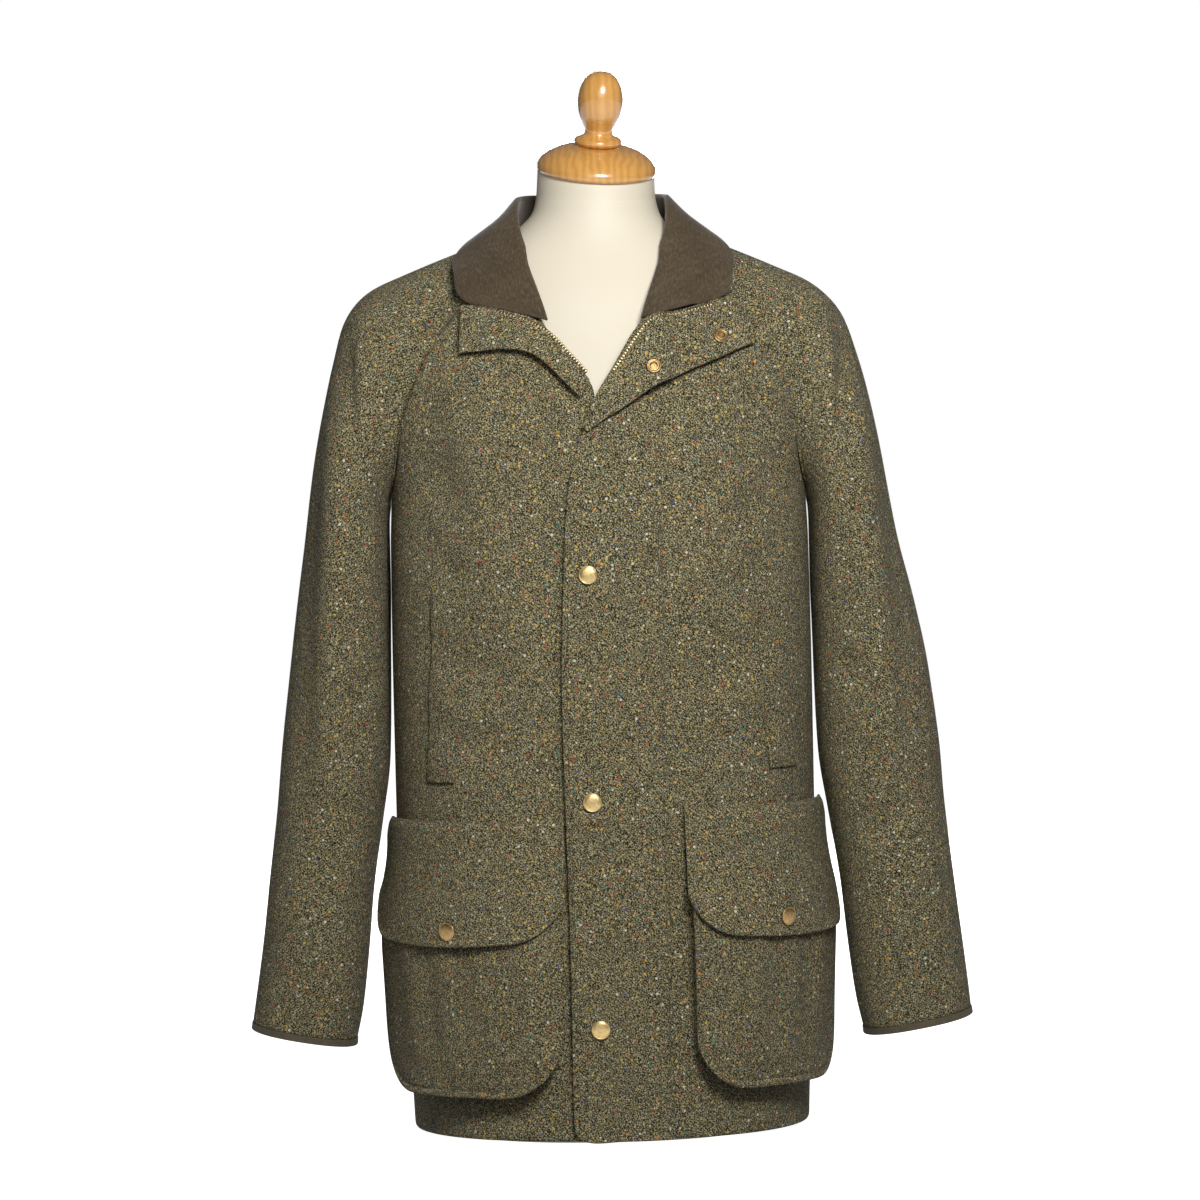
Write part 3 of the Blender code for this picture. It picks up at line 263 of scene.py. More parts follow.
# Folds laid on the cloth. Each runs from one place to another as seen from the
# front or the back, bowed sideways at its middle, with a soft round section.
# depth is above zero for a ridge; lean makes one flank steeper.
FOLD_COLUMNS = ("face", "x0", "z0", "x1", "z1", "bow", "width", "depth", "lean")
BODY_FOLDS = (
    ("front", -0.1930, 0.630, -0.1930, 0.400, 0.000, 0.020, 0.0016, 0.0),
    ("front", 0.1930, 0.630, 0.1930, 0.400, 0.000, 0.020, 0.0016, 0.0),
    ("front", -0.0440, 0.640, -0.0420, 0.000, 0.004, 0.010, -0.0064, 0.0),
    ("front", -0.0700, 0.330, -0.0620, 0.020, 0.000, 0.018, 0.0030, 0.0),
    ("front", -0.1700, 0.660, -0.1050, 0.575, 0.014, 0.017, -0.0060, 0.4),
    ("front", -0.1700, 0.590, -0.1150, 0.520, 0.012, 0.016, -0.0045, 0.4),
    ("front", -0.1600, 0.720, -0.1280, 0.600, 0.006, 0.014, -0.0045, 0.2),
    ("front", -0.1700, 0.480, -0.0650, 0.430, 0.012, 0.018, -0.0045, 0.2),
    ("front", -0.1700, 0.400, -0.0750, 0.365, 0.008, 0.015, -0.0035, 0.2),
    ("front", -0.1000, 0.690, -0.0880, 0.480, 0.006, 0.028, 0.0042, 0.0),
    ("front", -0.1150, 0.500, -0.0950, 0.320, -0.006, 0.022, -0.0030, 0.0),
    ("front", 0.1700, 0.655, 0.1080, 0.560, -0.014, 0.017, -0.0060, -0.4),
    ("front", 0.1700, 0.585, 0.1180, 0.505, -0.012, 0.016, -0.0045, -0.4),
    ("front", 0.1560, 0.715, 0.1220, 0.610, -0.006, 0.014, -0.0042, 0.2),
    ("front", 0.1700, 0.490, 0.0850, 0.425, -0.012, 0.018, -0.0045, -0.2),
    ("front", 0.1700, 0.400, 0.0850, 0.370, -0.008, 0.015, -0.0035, -0.2),
    ("front", 0.0950, 0.680, 0.0900, 0.450, -0.005, 0.026, 0.0040, 0.0),
    ("front", 0.1180, 0.500, 0.1020, 0.330, 0.006, 0.020, -0.0030, 0.0),
    ("front", 0.0680, 0.640, 0.0700, 0.330, 0.003, 0.009, -0.0030, 0.0),
    ("front", -0.1500, 0.060, -0.0600, 0.036, 0.004, 0.016, -0.0022, 0.0),
    ("front", 0.1500, 0.062, 0.0820, 0.040, 0.004, 0.016, -0.0022, 0.0),
    ("back", -0.1050, 0.640, -0.0780, 0.300, 0.010, 0.022, -0.0070, 0.0),
    ("back", -0.0500, 0.620, -0.0420, 0.080, -0.006, 0.024, 0.0055, 0.0),
    ("back", 0.0980, 0.650, 0.0830, 0.280, -0.012, 0.022, -0.0066, 0.0),
    ("back", 0.0420, 0.600, 0.0560, 0.060, 0.008, 0.026, 0.0050, 0.0),
    ("back", 0.0060, 0.520, -0.0060, 0.040, 0.006, 0.018, -0.0050, 0.0),
    ("back", -0.1700, 0.520, -0.0500, 0.465, 0.008, 0.016, -0.0048, 0.2),
    ("back", 0.1720, 0.505, 0.0550, 0.450, 0.008, 0.016, -0.0046, 0.2),
    ("back", -0.1550, 0.440, -0.0650, 0.415, 0.005, 0.013, -0.0034, 0.2),
    ("back", 0.1550, 0.425, 0.0450, 0.400, 0.005, 0.013, -0.0036, 0.2),
    ("back", -0.1400, 0.745, -0.0500, 0.775, 0.006, 0.018, -0.0036, 0.0),
    ("back", 0.1350, 0.750, 0.0450, 0.778, -0.006, 0.018, -0.0034, 0.0),
    ("back", -0.1300, 0.220, -0.1180, 0.020, 0.004, 0.022, -0.0055, 0.0),
    ("back", 0.1240, 0.240, 0.1200, 0.020, 0.004, 0.022, -0.0056, 0.0),
)
SLEEVE_FOLDS = (
    ("front", -0.2060, 0.600, -0.2080, 0.380, 0.000, 0.010, 0.0013, 0.0),
    ("front", 0.2060, 0.600, 0.2080, 0.380, 0.000, 0.010, 0.0013, 0.0),
    ("front", -0.2330, 0.772, -0.2160, 0.610, 0.006, 0.011, -0.0080, 0.5),
    ("front", -0.2340, 0.740, -0.2560, 0.260, 0.004, 0.017, 0.0065, 0.0),
    ("front", -0.2640, 0.700, -0.2840, 0.260, 0.004, 0.014, -0.0050, 0.0),
    ("front", -0.2080, 0.440, -0.2480, 0.385, 0.004, 0.010, -0.0050, 0.3),
    ("front", -0.2120, 0.390, -0.2600, 0.345, 0.004, 0.009, -0.0042, 0.3),
    ("front", -0.2180, 0.290, -0.2680, 0.325, -0.004, 0.010, -0.0036, 0.0),
    ("front", -0.2100, 0.500, -0.2400, 0.465, 0.003, 0.009, -0.0030, 0.3),
    ("front", -0.2550, 0.220, -0.2880, 0.130, 0.004, 0.013, 0.0035, 0.0),
    ("front", 0.2320, 0.775, 0.2180, 0.610, -0.006, 0.011, -0.0080, -0.5),
    ("front", 0.2340, 0.745, 0.2620, 0.260, -0.005, 0.017, 0.0065, 0.0),
    ("front", 0.2660, 0.700, 0.2930, 0.260, -0.004, 0.014, -0.0050, 0.0),
    ("front", 0.2100, 0.455, 0.2570, 0.400, -0.004, 0.010, -0.0050, 0.3),
    ("front", 0.2140, 0.375, 0.2640, 0.340, -0.004, 0.009, -0.0040, 0.3),
    ("front", 0.2260, 0.275, 0.2760, 0.310, 0.004, 0.010, -0.0036, 0.0),
    ("front", 0.2110, 0.510, 0.2460, 0.470, -0.003, 0.009, -0.0030, 0.3),
    ("front", 0.2620, 0.225, 0.2950, 0.130, -0.004, 0.013, 0.0035, 0.0),
    ("back", -0.2300, 0.760, -0.2040, 0.570, 0.008, 0.013, -0.0075, 0.4),
    ("back", -0.2560, 0.700, -0.2740, 0.300, 0.006, 0.022, 0.0040, 0.0),
    ("back", -0.2950, 0.470, -0.2450, 0.440, 0.004, 0.011, -0.0050, 0.3),
    ("back", -0.3000, 0.420, -0.2400, 0.405, 0.004, 0.010, -0.0044, 0.3),
    ("back", -0.3020, 0.370, -0.2480, 0.350, 0.004, 0.011, -0.0036, 0.3),
    ("back", 0.2300, 0.765, 0.2050, 0.570, -0.008, 0.013, -0.0075, -0.4),
    ("back", 0.2580, 0.700, 0.2800, 0.300, -0.006, 0.022, 0.0040, 0.0),
    ("back", 0.3020, 0.480, 0.2480, 0.450, -0.004, 0.011, -0.0050, 0.3),
    ("back", 0.3060, 0.425, 0.2440, 0.412, -0.004, 0.010, -0.0044, 0.3),
    ("back", 0.3080, 0.370, 0.2520, 0.352, -0.004, 0.011, -0.0036, 0.3),
)

CAMERA_LENS = 157.98
CAMERA_PLACE = (-0.0007, -5.0, 0.66)
CAMERA_LOOK = (0.0, 5.0, -0.16)
CAMERA_ROLL = -0.0225
LIGHT_COLUMNS = ("name", "place", "aim_height", "power", "size")
LIGHTS = (
    ("key", (0.40, -1.85, 1.52), 0.74, 40.0, 0.6),
    ("fill", (-0.3, -3.4, 1.3), 0.60, 8.0, 1.0),
    ("behind", (0.3, 3.4, 1.1), 0.50, 60.0, 1.2),
)
SOFT_LIGHT = 0.14         # even light from all round
FLOOR_SIZE = 14.0


# ------------------------------------------------------------ small tools ----
def between(a, b, leave, arrive, share):
    """A smooth way from a to b that sets out and comes in at the given slopes."""
    return (
        a * ((1 + 2 * share) * (1 - share) ** 2) + b * ((3 - 2 * share) * share**2)
        + leave * (share * (1 - share) ** 2) - arrive * (share**2 * (1 - share))
    )


def read(rows, columns, name, at):
    """Smooth values from a table at heights (first column) or row numbers."""
    column = columns.index(name)
    values = np.array([row[column] for row in rows], float)
    keys = np.array([row[0] for row in rows], float) if columns[0] == "height" else np.arange(len(rows)) * 1.0
    at = np.clip(np.asarray(at, float), keys[0], keys[-1])
    chords = np.diff(values) / np.diff(keys)
    slopes = np.empty(len(keys))
    slopes[0], slopes[-1] = chords[0], chords[-1]
    before, after = chords[:-1], chords[1:]
    same_way = before * after > 0
    slopes[1:-1] = np.where(same_way, 2 * before * after / np.where(same_way, before + after, 1.0), 0.0)
    low = np.clip(np.searchsorted(keys, at, side="right") - 1, 0, len(keys) - 2)
    step = keys[low + 1] - keys[low]
    return between(values[low], values[low + 1], step * slopes[low], step * slopes[low + 1], (at - keys[low]) / step)


def named(columns, row):
    return dict(zip(columns, row))


def mix(a, b, share):
    return a + (b - a) * share


def ease(low, high, value):
    share = np.clip((np.asarray(value, float) - low) / (high - low), 0.0, 1.0)
    return share * share * (3 - 2 * share)


def unit(vectors):
    return vectors / np.maximum(np.linalg.norm(vectors, axis=-1, keepdims=True), 1e-12)


def ring_point(rows, columns, turn, height):
    """Places on rings whose quarter arcs are rounded squares."""
    turn, height = np.broadcast_arrays(np.asarray(turn, float), np.asarray(height, float))
    half = read(rows, columns, "half", height)
    power = 2.0 / read(rows, columns, "round", height)
    sine, cosine = np.sin(turn * np.pi), np.cos(turn * np.pi)
    depth = np.where(cosine > 0, read(rows, columns, "front", height), read(rows, columns, "back", height))
    x = np.copysign(half * np.abs(sine) ** power, sine)
    y = -np.copysign(depth * np.abs(cosine) ** power, cosine)
    return np.stack([x, y, height], axis=-1)


def body_frame(turn, height):
    """Place and outward normal on the coat body, folds left out."""
    turn, height = np.broadcast_arrays(np.asarray(turn, float), np.asarray(height, float))
    step = 0.002
    ring = partial(ring_point, BODY, BODY_COLUMNS)
    across = ring(turn + step, height) - ring(turn - step, height)
    up = ring(turn, np.minimum(height + step, BODY[-1][0])) - ring(turn, np.maximum(height - step, BODY[0][0]))
    return ring(turn, height), unit(np.cross(across, up))


def fold_lift(point, normal, rows):
    """How far the folds push the cloth out at each place."""
    total = np.zeros(point.shape[:-1])
    for row in rows:
        fold = named(FOLD_COLUMNS, row)
        start = np.array([fold["x0"], fold["z0"]])
        run = np.array([fold["x1"], fold["z1"]]) - start
        length = np.linalg.norm(run)
        place = point[..., [0, 2]] - start
        along = (place @ run) / length**2
        across = (place[..., 0] * run[1] - place[..., 1] * run[0]) / length
        across = across - fold["bow"] * 4 * along * (1 - along)
        width = fold["width"] * (1 + fold["lean"] * np.tanh(across / fold["width"]))
        taper = ease(-0.05, 0.30, along) * (1 - ease(0.70, 1.05, along))
        facing = -normal[..., 1] if fold["face"] == "front" else normal[..., 1]
        total += fold["depth"] * taper * np.exp(-((across / width) ** 2)) * ease(0.02, 0.40, facing)
    return total


def body_point(turn, height, out=0.0):
    """A place on the worn coat body: its folds and then whatever lies on it."""
    point, normal = body_frame(turn, height)
    lift = fold_lift(point, normal, BODY_FOLDS) + out
    return point + normal * lift[..., None]


def turn_of(x, height):
    half = read(BODY, BODY_COLUMNS, "half", height)
    power = read(BODY, BODY_COLUMNS, "round", height) / 2.0
    share = np.minimum(np.abs(x) / half, 1.0)
    return np.copysign(np.arcsin(share**power) / np.pi, x)


def on_front(x, height, out=0.0):
    return body_point(turn_of(x, height), height, out)


def front_normal(x, height):
    """Outward normal of the worn front, folds and all."""
    step = 0.0015
    across = on_front(x + step, height) - on_front(x - step, height)
    up = on_front(x, height + step) - on_front(x, height - step)
    return unit(np.cross(across, up))


# --------------------------------------------------------------- meshes ------
def weave_map(grid):
    """Metres along the rows and across them: the cloth laid flat, unsheared."""
    across = np.zeros(grid.shape[:2])
    across[:, 1:] = np.cumsum(np.linalg.norm(np.diff(grid, axis=1), axis=2), axis=1)
    step = np.diff(grid, axis=0)
    along = unit(np.gradient(grid, axis=1))[:-1]
    slip = np.sum(step * along, axis=2)
    down = np.zeros(grid.shape[:2])
    down[1:] = np.cumsum(np.sqrt(np.maximum(np.sum(step**2, axis=2) - slip**2, 0.0)), axis=0)
    across[1:] += np.cumsum(slip[:, :1], axis=0)
    return across, down


def tube_map(grid, axis):
    """Metres round a tube and along its axis, for a tube whose rings are slanted."""
    step = np.diff(grid, axis=1)
    along = step @ axis
    across = np.zeros(grid.shape[:2])
    across[:, 1:] = np.cumsum(np.sqrt(np.maximum(np.sum(step**2, axis=2) - along**2, 0.0)), axis=1)
    return across, grid @ axis


def net_normals(grid, closed=False, flip=False):
    if closed:
        wide = np.concatenate([grid[:, -1:], grid, grid[:, :1]], axis=1)
        across = (wide[:, 2:] - wide[:, :-2]) / 2
    else:
        across = np.gradient(grid, axis=1)
    normals = unit(np.cross(across, np.gradient(grid, axis=0)))
    return -normals if flip else normals


def mesh_object(name, vertices, faces, finish):
    mesh = bpy.data.meshes.new(name)
    mesh.from_pydata([tuple(v) for v in vertices], [], faces)
    mesh.materials.append(finish)
    item = bpy.data.objects.new(name, mesh)
    bpy.context.scene.collection.objects.link(item)
    return item


def face_outwards(item):
    """Turns every face of a closed shell outwards."""
    shape = bmesh.new()
    shape.from_mesh(item.data)
    bmesh.ops.recalc_face_normals(shape, faces=shape.faces)
    if shape.calc_volume(signed=True) < 0:
        bmesh.ops.reverse_faces(shape, faces=shape.faces)
    shape.to_mesh(item.data)
    shape.free()


def cloth(name, outer, thickness, finish, closed=False, flip=False, turn_weave=False, rounds=1,
          axis=None, flat=None):
    """A thin shell under a net of points, with its weave laid out in metres.

    flat gives the weave's places outright, and axis the way that a tube runs.
    """
    rows, columns = outer.shape[:2]
    thickness = np.broadcast_to(np.asarray(thickness, float), (rows, columns))
    normals = net_normals(outer, closed, flip)
    inner = outer - normals * thickness[..., None]
    vertices = np.concatenate([outer.reshape(-1, 3), inner.reshape(-1, 3)])
    under = rows * columns
    lay = np.concatenate([outer, outer[:, :1]], axis=1) if closed else outer
    if flat is not None:
        across, down = flat
    else:
        across, down = weave_map(lay) if axis is None else tube_map(lay, axis)
    weave = np.stack([down, across] if turn_weave else [across, down], axis=-1)
    faces, places = [], []
    steps = columns if closed else columns - 1
    for i in range(rows - 1):
        for j in range(steps):
            k = (j + 1) % columns
            quad = (i * columns + j, i * columns + k, (i + 1) * columns + k, (i + 1) * columns + j)
            faces += [quad, tuple(corner + under for corner in quad)]
            places += [[(i, j), (i, j + 1), (i + 1, j + 1), (i + 1, j)]] * 2
    rims = [(i, j, i, j + 1) for i in (0, rows - 1) for j in range(steps)]
    if not closed:
        rims += [(i, j, i + 1, j) for j in (0, columns - 1) for i in range(rows - 1)]
    for i0, j0, i1, j1 in rims:
        a, b = i0 * columns + j0, i1 * columns + j1 % columns
        faces.append((a, b, b + under, a + under))
        places.append([(i0, j0), (i1, j1), (i1, j1), (i0, j0)])
    item = mesh_object(name, vertices, faces, finish)
    layer = item.data.uv_layers.new(name="weave")
    layer.data.foreach_set("uv", np.array([weave[i, j] for at in places for i, j in at]).ravel())
    face_outwards(item)
    item.data.shade_smooth()
    if rounds:
        soften = item.modifiers.new("soft edges", "SUBSURF")
        soften.levels = soften.render_levels = rounds
    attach(item, "root")
    return item


def belongs(piece, node):
    """The piece stands for a node of the part, which is hidden."""
    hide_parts(node)
    return piece


def sided(stem, side):
    return stem + ("_left" if side > 0 else "_right")


def net(rows, columns):
    """Row and column values as two matching nets."""
    return np.meshgrid(np.asarray(rows, float), np.asarray(columns, float), indexing="ij")


# ------------------------------------------------------------- finishes ------
class Finish:
    """A material drawn as a short chain of nodes."""

    def __init__(self, name, roughness, metallic=0.0):
        self.material = bpy.data.materials.new(name)
        self.material.use_nodes = True
        self.tree = self.material.node_tree
        self.shader = self.tree.nodes["Principled BSDF"]
        self.surface({"Roughness": roughness, "Metallic": metallic})

    def node(self, kind, sockets=None, **settings):
        made = self.tree.nodes.new("ShaderNode" + kind)
        for name, value in settings.items():
            setattr(made, name, value)
        for name, value in (sockets or {}).items():
            self.set(made.inputs[name], value)
        return made

    def set(self, socket, value):
        if isinstance(value, bpy.types.NodeSocket):
            self.tree.links.new(value, socket)
        else:
            socket.default_value = value

    def maths(self, operation, a, b=0.0, c=0.0, clamp=False):
        made = self.node("Math", {0: a, 1: b, 2: c}, operation=operation, use_clamp=clamp)
        return made.outputs[0]

    def blend(self, factor, a, b, mode="MIX"):
        made = self.node("Mix", data_type="RGBA", blend_type=mode)
        self.set(made.inputs[0], factor)
        self.set(made.inputs[6], a)
        self.set(made.inputs[7], b)
        return made.outputs[2]

    def ramp(self, factor, stops, smooth=True):
        made = self.node("ValToRGB", {"Fac": factor})
        ramp = made.color_ramp
        ramp.interpolation = "LINEAR" if smooth else "CONSTANT"
        while len(ramp.elements) < len(stops):
            ramp.elements.new(1.0)
        for element, (place, colour) in zip(ramp.elements, stops):
            element.position = place
            element.color = colour
        return made.outputs[0]

    def noise(self, place, scale, detail=2.0, roughness=0.5):
        made = self.node("TexNoise", {"Vector": place, "Scale": scale, "Detail": detail, "Roughness": roughness})
        return made.outputs["Fac"]

    def wander(self, place, scale, detail, reach):
        """The same place, moved a little by a slow noise."""
        noise = self.node("TexNoise", {"Vector": place, "Scale": scale, "Detail": detail})
        drift = self.node("VectorMath", {0: noise.outputs["Color"], 1: (reach, reach, 0.0)}, operation="MULTIPLY")
        return self.node("VectorMath", {0: place, 1: drift.outputs[0]}, operation="ADD").outputs[0]

    def bands(self, place, scale, distortion, direction="X", detail=1.0, detail_scale=1.0):
        made = self.node("TexWave", {"Vector": place, "Scale": scale, "Distortion": distortion, "Detail": detail,
                                     "Detail Scale": detail_scale}, wave_type="BANDS", bands_direction=direction)
        return made.outputs["Fac"]

    def place(self, weave=None, scale=(1, 1, 1)):
        """Coordinates in metres: the cloth's own weave map, or the object's."""
        if weave:
            source = self.node("UVMap", uv_map=weave).outputs["UV"]
        else:
            source = self.node("TexCoord").outputs["Object"]
        return self.node("Mapping", {"Vector": source, "Scale": scale}).outputs[0]

    def bump(self, height, distance, strength=1.0):
        made = self.node("Bump", {"Height": height, "Distance": distance, "Strength": strength})
        self.set(self.shader.inputs["Normal"], made.outputs[0])

    def colour(self, value):
        self.set(self.shader.inputs["Base Color"], value)

    def surface(self, values):
        """Steady values, set straight on the shader's sockets."""
        for name, value in values.items():
            self.shader.inputs[name].default_value = value


def shade(r, g, b):
    return (r, g, b, 1.0)


TWILL_LINES = 185.0       # bands to the metre that give a fine diagonal line
# Cell and fleck sizes in metres, the share of cells that hold one, and their hues.
FLECKS = (
    (0.0020, 0.00064, 0.60, [
        (0.00, shade(0.42, 0.31, 0.085)), (0.40, shade(0.52, 0.49, 0.37)), (0.62, shade(0.30, 0.18, 0.065)),
        (0.75, shade(0.07, 0.12, 0.10)), (0.86, shade(0.08, 0.085, 0.13)), (0.94, shade(0.24, 0.065, 0.04)),
    ]),
    (0.0046, 0.00105, 0.62, [
        (0.00, shade(0.62, 0.43, 0.09)), (0.38, shade(0.70, 0.66, 0.52)), (0.58, shade(0.48, 0.09, 0.05)),
        (0.74, shade(0.04, 0.22, 0.17)), (0.84, shade(0.08, 0.10, 0.26)), (0.91, shade(0.60, 0.25, 0.07)),
    ]),
)


def tweed_finish(name, mirrored=False):
    """Twill of dark and khaki yarns, green-brown as a whole, with bright flecks.

    The twill line follows the cloth. The pepper, the mottling and the flecks are
    laid in the space of the coat, so they don't stretch where the cloth is eased.
    """
    made = Finish(name, 0.95)
    place = made.place("weave", scale=(-1 if mirrored else 1, 1, 1))
    twill = made.bands(made.wander(place, 160.0, 2.0, 0.0012), TWILL_LINES, 0.6, "DIAGONAL")
    body = made.place()
    pepper = made.noise(body, 850.0, 2.0, 0.9)
    grain = made.noise(body, 1150.0, 1.0, 0.6)
    weave = made.maths("MULTIPLY_ADD", twill, 0.12, made.maths("MULTIPLY_ADD", pepper, 3.4, -1.48))
    weave = made.maths("MULTIPLY_ADD", grain, 1.1, made.maths("ADD", weave, -0.30))
    yarns = made.ramp(weave, [
        (0.18, shade(0.008, 0.007, 0.003)),
        (0.42, shade(0.034, 0.030, 0.014)),
        (0.62, shade(0.108, 0.096, 0.054)),
        (0.90, shade(0.540, 0.485, 0.330)),
    ])
    mottle = made.noise(body, 42.0, 3.0, 0.6)
    greener = made.blend(made.maths("MULTIPLY_ADD", mottle, 1.4, -0.3, clamp=True),
                         shade(1.05, 0.98, 0.80), shade(0.90, 0.97, 0.94))
    ground = made.blend(1.0, yarns, greener, "MULTIPLY")
    for cell, size, keep, hues in FLECKS:
        spots = made.node("TexVoronoi", {"Vector": body, "Scale": 1.0 / cell}, voronoi_dimensions="3D")
        parts = made.node("SeparateColor", {"Color": spots.outputs["Color"]})
        reach = made.maths("MULTIPLY_ADD", parts.outputs["Blue"], 0.7 * size / cell, 0.6 * size / cell)
        inside = made.maths("LESS_THAN", spots.outputs["Distance"], reach)
        picked = made.maths("MULTIPLY", inside, made.maths("LESS_THAN", parts.outputs["Green"], keep))
        hue = made.ramp(parts.outputs["Red"], hues, smooth=False)
        ground = made.blend(picked, ground, hue)
    made.colour(ground)
    made.bump(weave, 0.0008, 0.6)
    made.surface({"Sheen Weight": 0.05, "Sheen Roughness": 0.6, "Specular IOR Level": 0.12})
    return made.material


def moleskin_finish():
    """Brushed dark brown cotton: short hairs lying in soft swirls."""
    made = Finish("moleskin_collar", 0.9)
    place = made.place("weave")
    swirl = made.node("Mapping", {"Vector": made.wander(place, 22.0, 1.0, 0.020), "Scale": (1.0, 0.28, 1.0)})
    hairs = made.noise(swirl.outputs[0], 620.0, 3.0, 0.65)
    nap = made.noise(place, 30.0, 3.0, 0.6)
    tone = made.maths("MULTIPLY_ADD", hairs, 0.75, made.maths("MULTIPLY", nap, 0.30))
    made.colour(made.ramp(tone, [
        (0.28, shade(0.036, 0.025, 0.014)),
        (0.52, shade(0.074, 0.053, 0.031)),
        (0.78, shade(0.150, 0.112, 0.070)),
    ]))
    made.bump(hairs, 0.0006, 0.5)
    made.surface({"Sheen Weight": 0.20, "Sheen Roughness": 0.5, "Specular IOR Level": 0.15})
    return made.material


def binding_finish(name, low, high):
    """Narrow woven tape: fine ribs across its length."""
    made = Finish(name, 0.85)
    place = made.place("weave")
    ribs = made.bands(place, 320.0, 0.5)
    worn = made.noise(place, 180.0, 3.0, 0.6)
    made.colour(made.ramp(made.maths("MULTIPLY_ADD", ribs, 0.3, made.maths("MULTIPLY", worn, 0.9)), [
        (0.20, low), (0.90, high)]))
    made.bump(ribs, 0.0004, 0.6)
    return made.material


def brass_finish(name, light, dark, rough):
    """Antique brass: a darkened skin, rubbed lighter in fine patches."""
    made = Finish(name, rough, 1.0)
    place = made.place()
    tarnish = made.noise(place, 420.0, 4.0, 0.65)
    made.colour(made.ramp(tarnish, [(0.30, dark), (0.68, light)]))
    made.set(made.shader.inputs["Roughness"], made.maths("MULTIPLY_ADD", tarnish, 0.25, rough - 0.10))
    made.bump(made.noise(place, 1500.0, 2.0), 0.0001, 0.25)
    return made.material


def beech_finish():
    """Honey-orange varnish over straight beech grain with short flecks."""
    made = Finish("varnished_beech", 0.28)
    place = made.place(scale=(1.0, 1.0, 0.16))
    rings = made.bands(place, 42.0, 5.0, detail=2.0, detail_scale=1.6)
    ticks = made.noise(made.place(scale=(1.0, 1.0, 0.22)), 900.0, 2.0, 0.5)
    grain = made.maths("MULTIPLY_ADD", rings, 0.45, made.maths("MULTIPLY", ticks, 0.55))
    made.colour(made.ramp(grain, [
        (0.15, shade(0.58, 0.265, 0.056)),
        (0.50, shade(0.66, 0.330, 0.080)),
        (0.85, shade(0.73, 0.390, 0.105)),
    ]))
    made.bump(grain, 0.0002, 0.2)
    made.surface({"Coat Weight": 0.8, "Coat Roughness": 0.12})
    return made.material


def cover_finish():
    """The form's smooth cream cotton cover."""
    made = Finish("form_cover", 0.55)
    place = made.place()
    threads = made.noise(place, 900.0, 2.0, 0.5)
    cloud = made.noise(place, 14.0, 2.0, 0.5)
    made.colour(made.ramp(made.maths("MULTIPLY_ADD", cloud, 0.5, made.maths("MULTIPLY", threads, 0.4)), [
        (0.20, shade(0.730, 0.655, 0.510)), (0.75, shade(0.780, 0.715, 0.575))]))
    made.bump(threads, 0.0002, 0.25)
    return made.material


def thread_finish():
    """Sewing thread a shade darker than the cloth, with a twist along it."""
    made = Finish("sewing_thread", 0.7)
    twist = made.noise(made.place(), 1400.0, 1.0)
    made.colour(made.ramp(twist, [(0.3, shade(0.030, 0.026, 0.014)), (0.7, shade(0.085, 0.075, 0.044))]))
    return made.material


def floor_finish():
    """Pale seamless paper with the faintest tooth."""
    made = Finish("pale_floor", 0.9)
    tooth = made.noise(made.place(), 60.0, 3.0)
    made.colour(made.ramp(tooth, [(0.3, shade(0.93, 0.93, 0.93)), (0.7, shade(0.95, 0.95, 0.95))]))
    made.surface({"Emission Color": shade(1.0, 1.0, 1.0), "Emission Strength": 0.98})
    return made.material


TWEED_CLOTH = tweed_finish("tweed")
TWEED_TURNED = tweed_finish("tweed_turned", mirrored=True)
MOLESKIN = moleskin_finish()
BINDING = binding_finish("cuff_binding", shade(0.040, 0.031, 0.016), shade(0.115, 0.092, 0.052))
# The zip tape is real; its near-black band below the teeth is also painted shadow of the gap there.
ZIP_TAPE_AND_GAP_SHADE = binding_finish("zip_tape", shade(0.020, 0.017, 0.012), shade(0.060, 0.050, 0.036))
# One brass in two copies: a lit copy for the storm flap's snaps, the slider and the pull, and a darker copy that is
# painted shade, for the pocket snaps, which face sideways, and for the ring sockets.
BRASS_LIT_COPY = brass_finish("brass_lit_copy", shade(0.55, 0.42, 0.20), shade(0.36, 0.25, 0.10), 0.32)
BRASS_SHADED_COPY = brass_finish("brass_painted_shade", shade(0.40, 0.27, 0.12), shade(0.20, 0.13, 0.055), 0.36)
BRASS_TEETH = brass_finish("brass_teeth", shade(0.46, 0.36, 0.21), shade(0.22, 0.16, 0.08), 0.34)
BEECH = beech_finish()
COVER = cover_finish()
THREAD = thread_finish()


# --------------------------------------------------------------- panels ------
def front_seam_turn(height):
    raglan = turn_of(read(RAGLAN, RAGLAN_COLUMNS, "front", height), height)
    return np.where(np.asarray(height) <= UNDERARM, 0.5, raglan)


def back_seam_turn(height):
    raglan = 1.0 - turn_of(read(RAGLAN, RAGLAN_COLUMNS, "back", height), height)
    return np.where(np.asarray(height) <= UNDERARM, 0.5, raglan)


def half_gap(height):
    level = ease(0.590, 0.600, height) * (1 - ease(0.615, 0.690, height))
    return 0.5 * GAP / GIRTH_RADIUS * (1 + 5 * level)


def front_panel(side, finish):
    """One front: from the zip line round to the side seam and the raglan seam."""
    name, column = sided("front", side), "left" if side > 0 else "right"
    heights, shares = net(np.linspace(HEM, FRONT_TIP, 104), np.linspace(0, 1, 36))
    start = turn_of(read(EDGE, EDGE_COLUMNS, column, heights), heights)
    end = side * (front_seam_turn(heights) - half_gap(heights))
    piece = cloth(name + "_cloth", body_point(mix(start, end, shares), heights), TWEED, finish, flip=side < 0)
    return belongs(piece, name)


def back_panel():
    heights, shares = net(np.linspace(HEM, BACK_TIP, 104), np.linspace(0, 1, 72))
    end = back_seam_turn(heights) + half_gap(heights)
    piece = cloth("back_cloth", body_point(mix(end, 2.0 - end, shares), heights), TWEED, TWEED_CLOTH)
    return belongs(piece, "back")


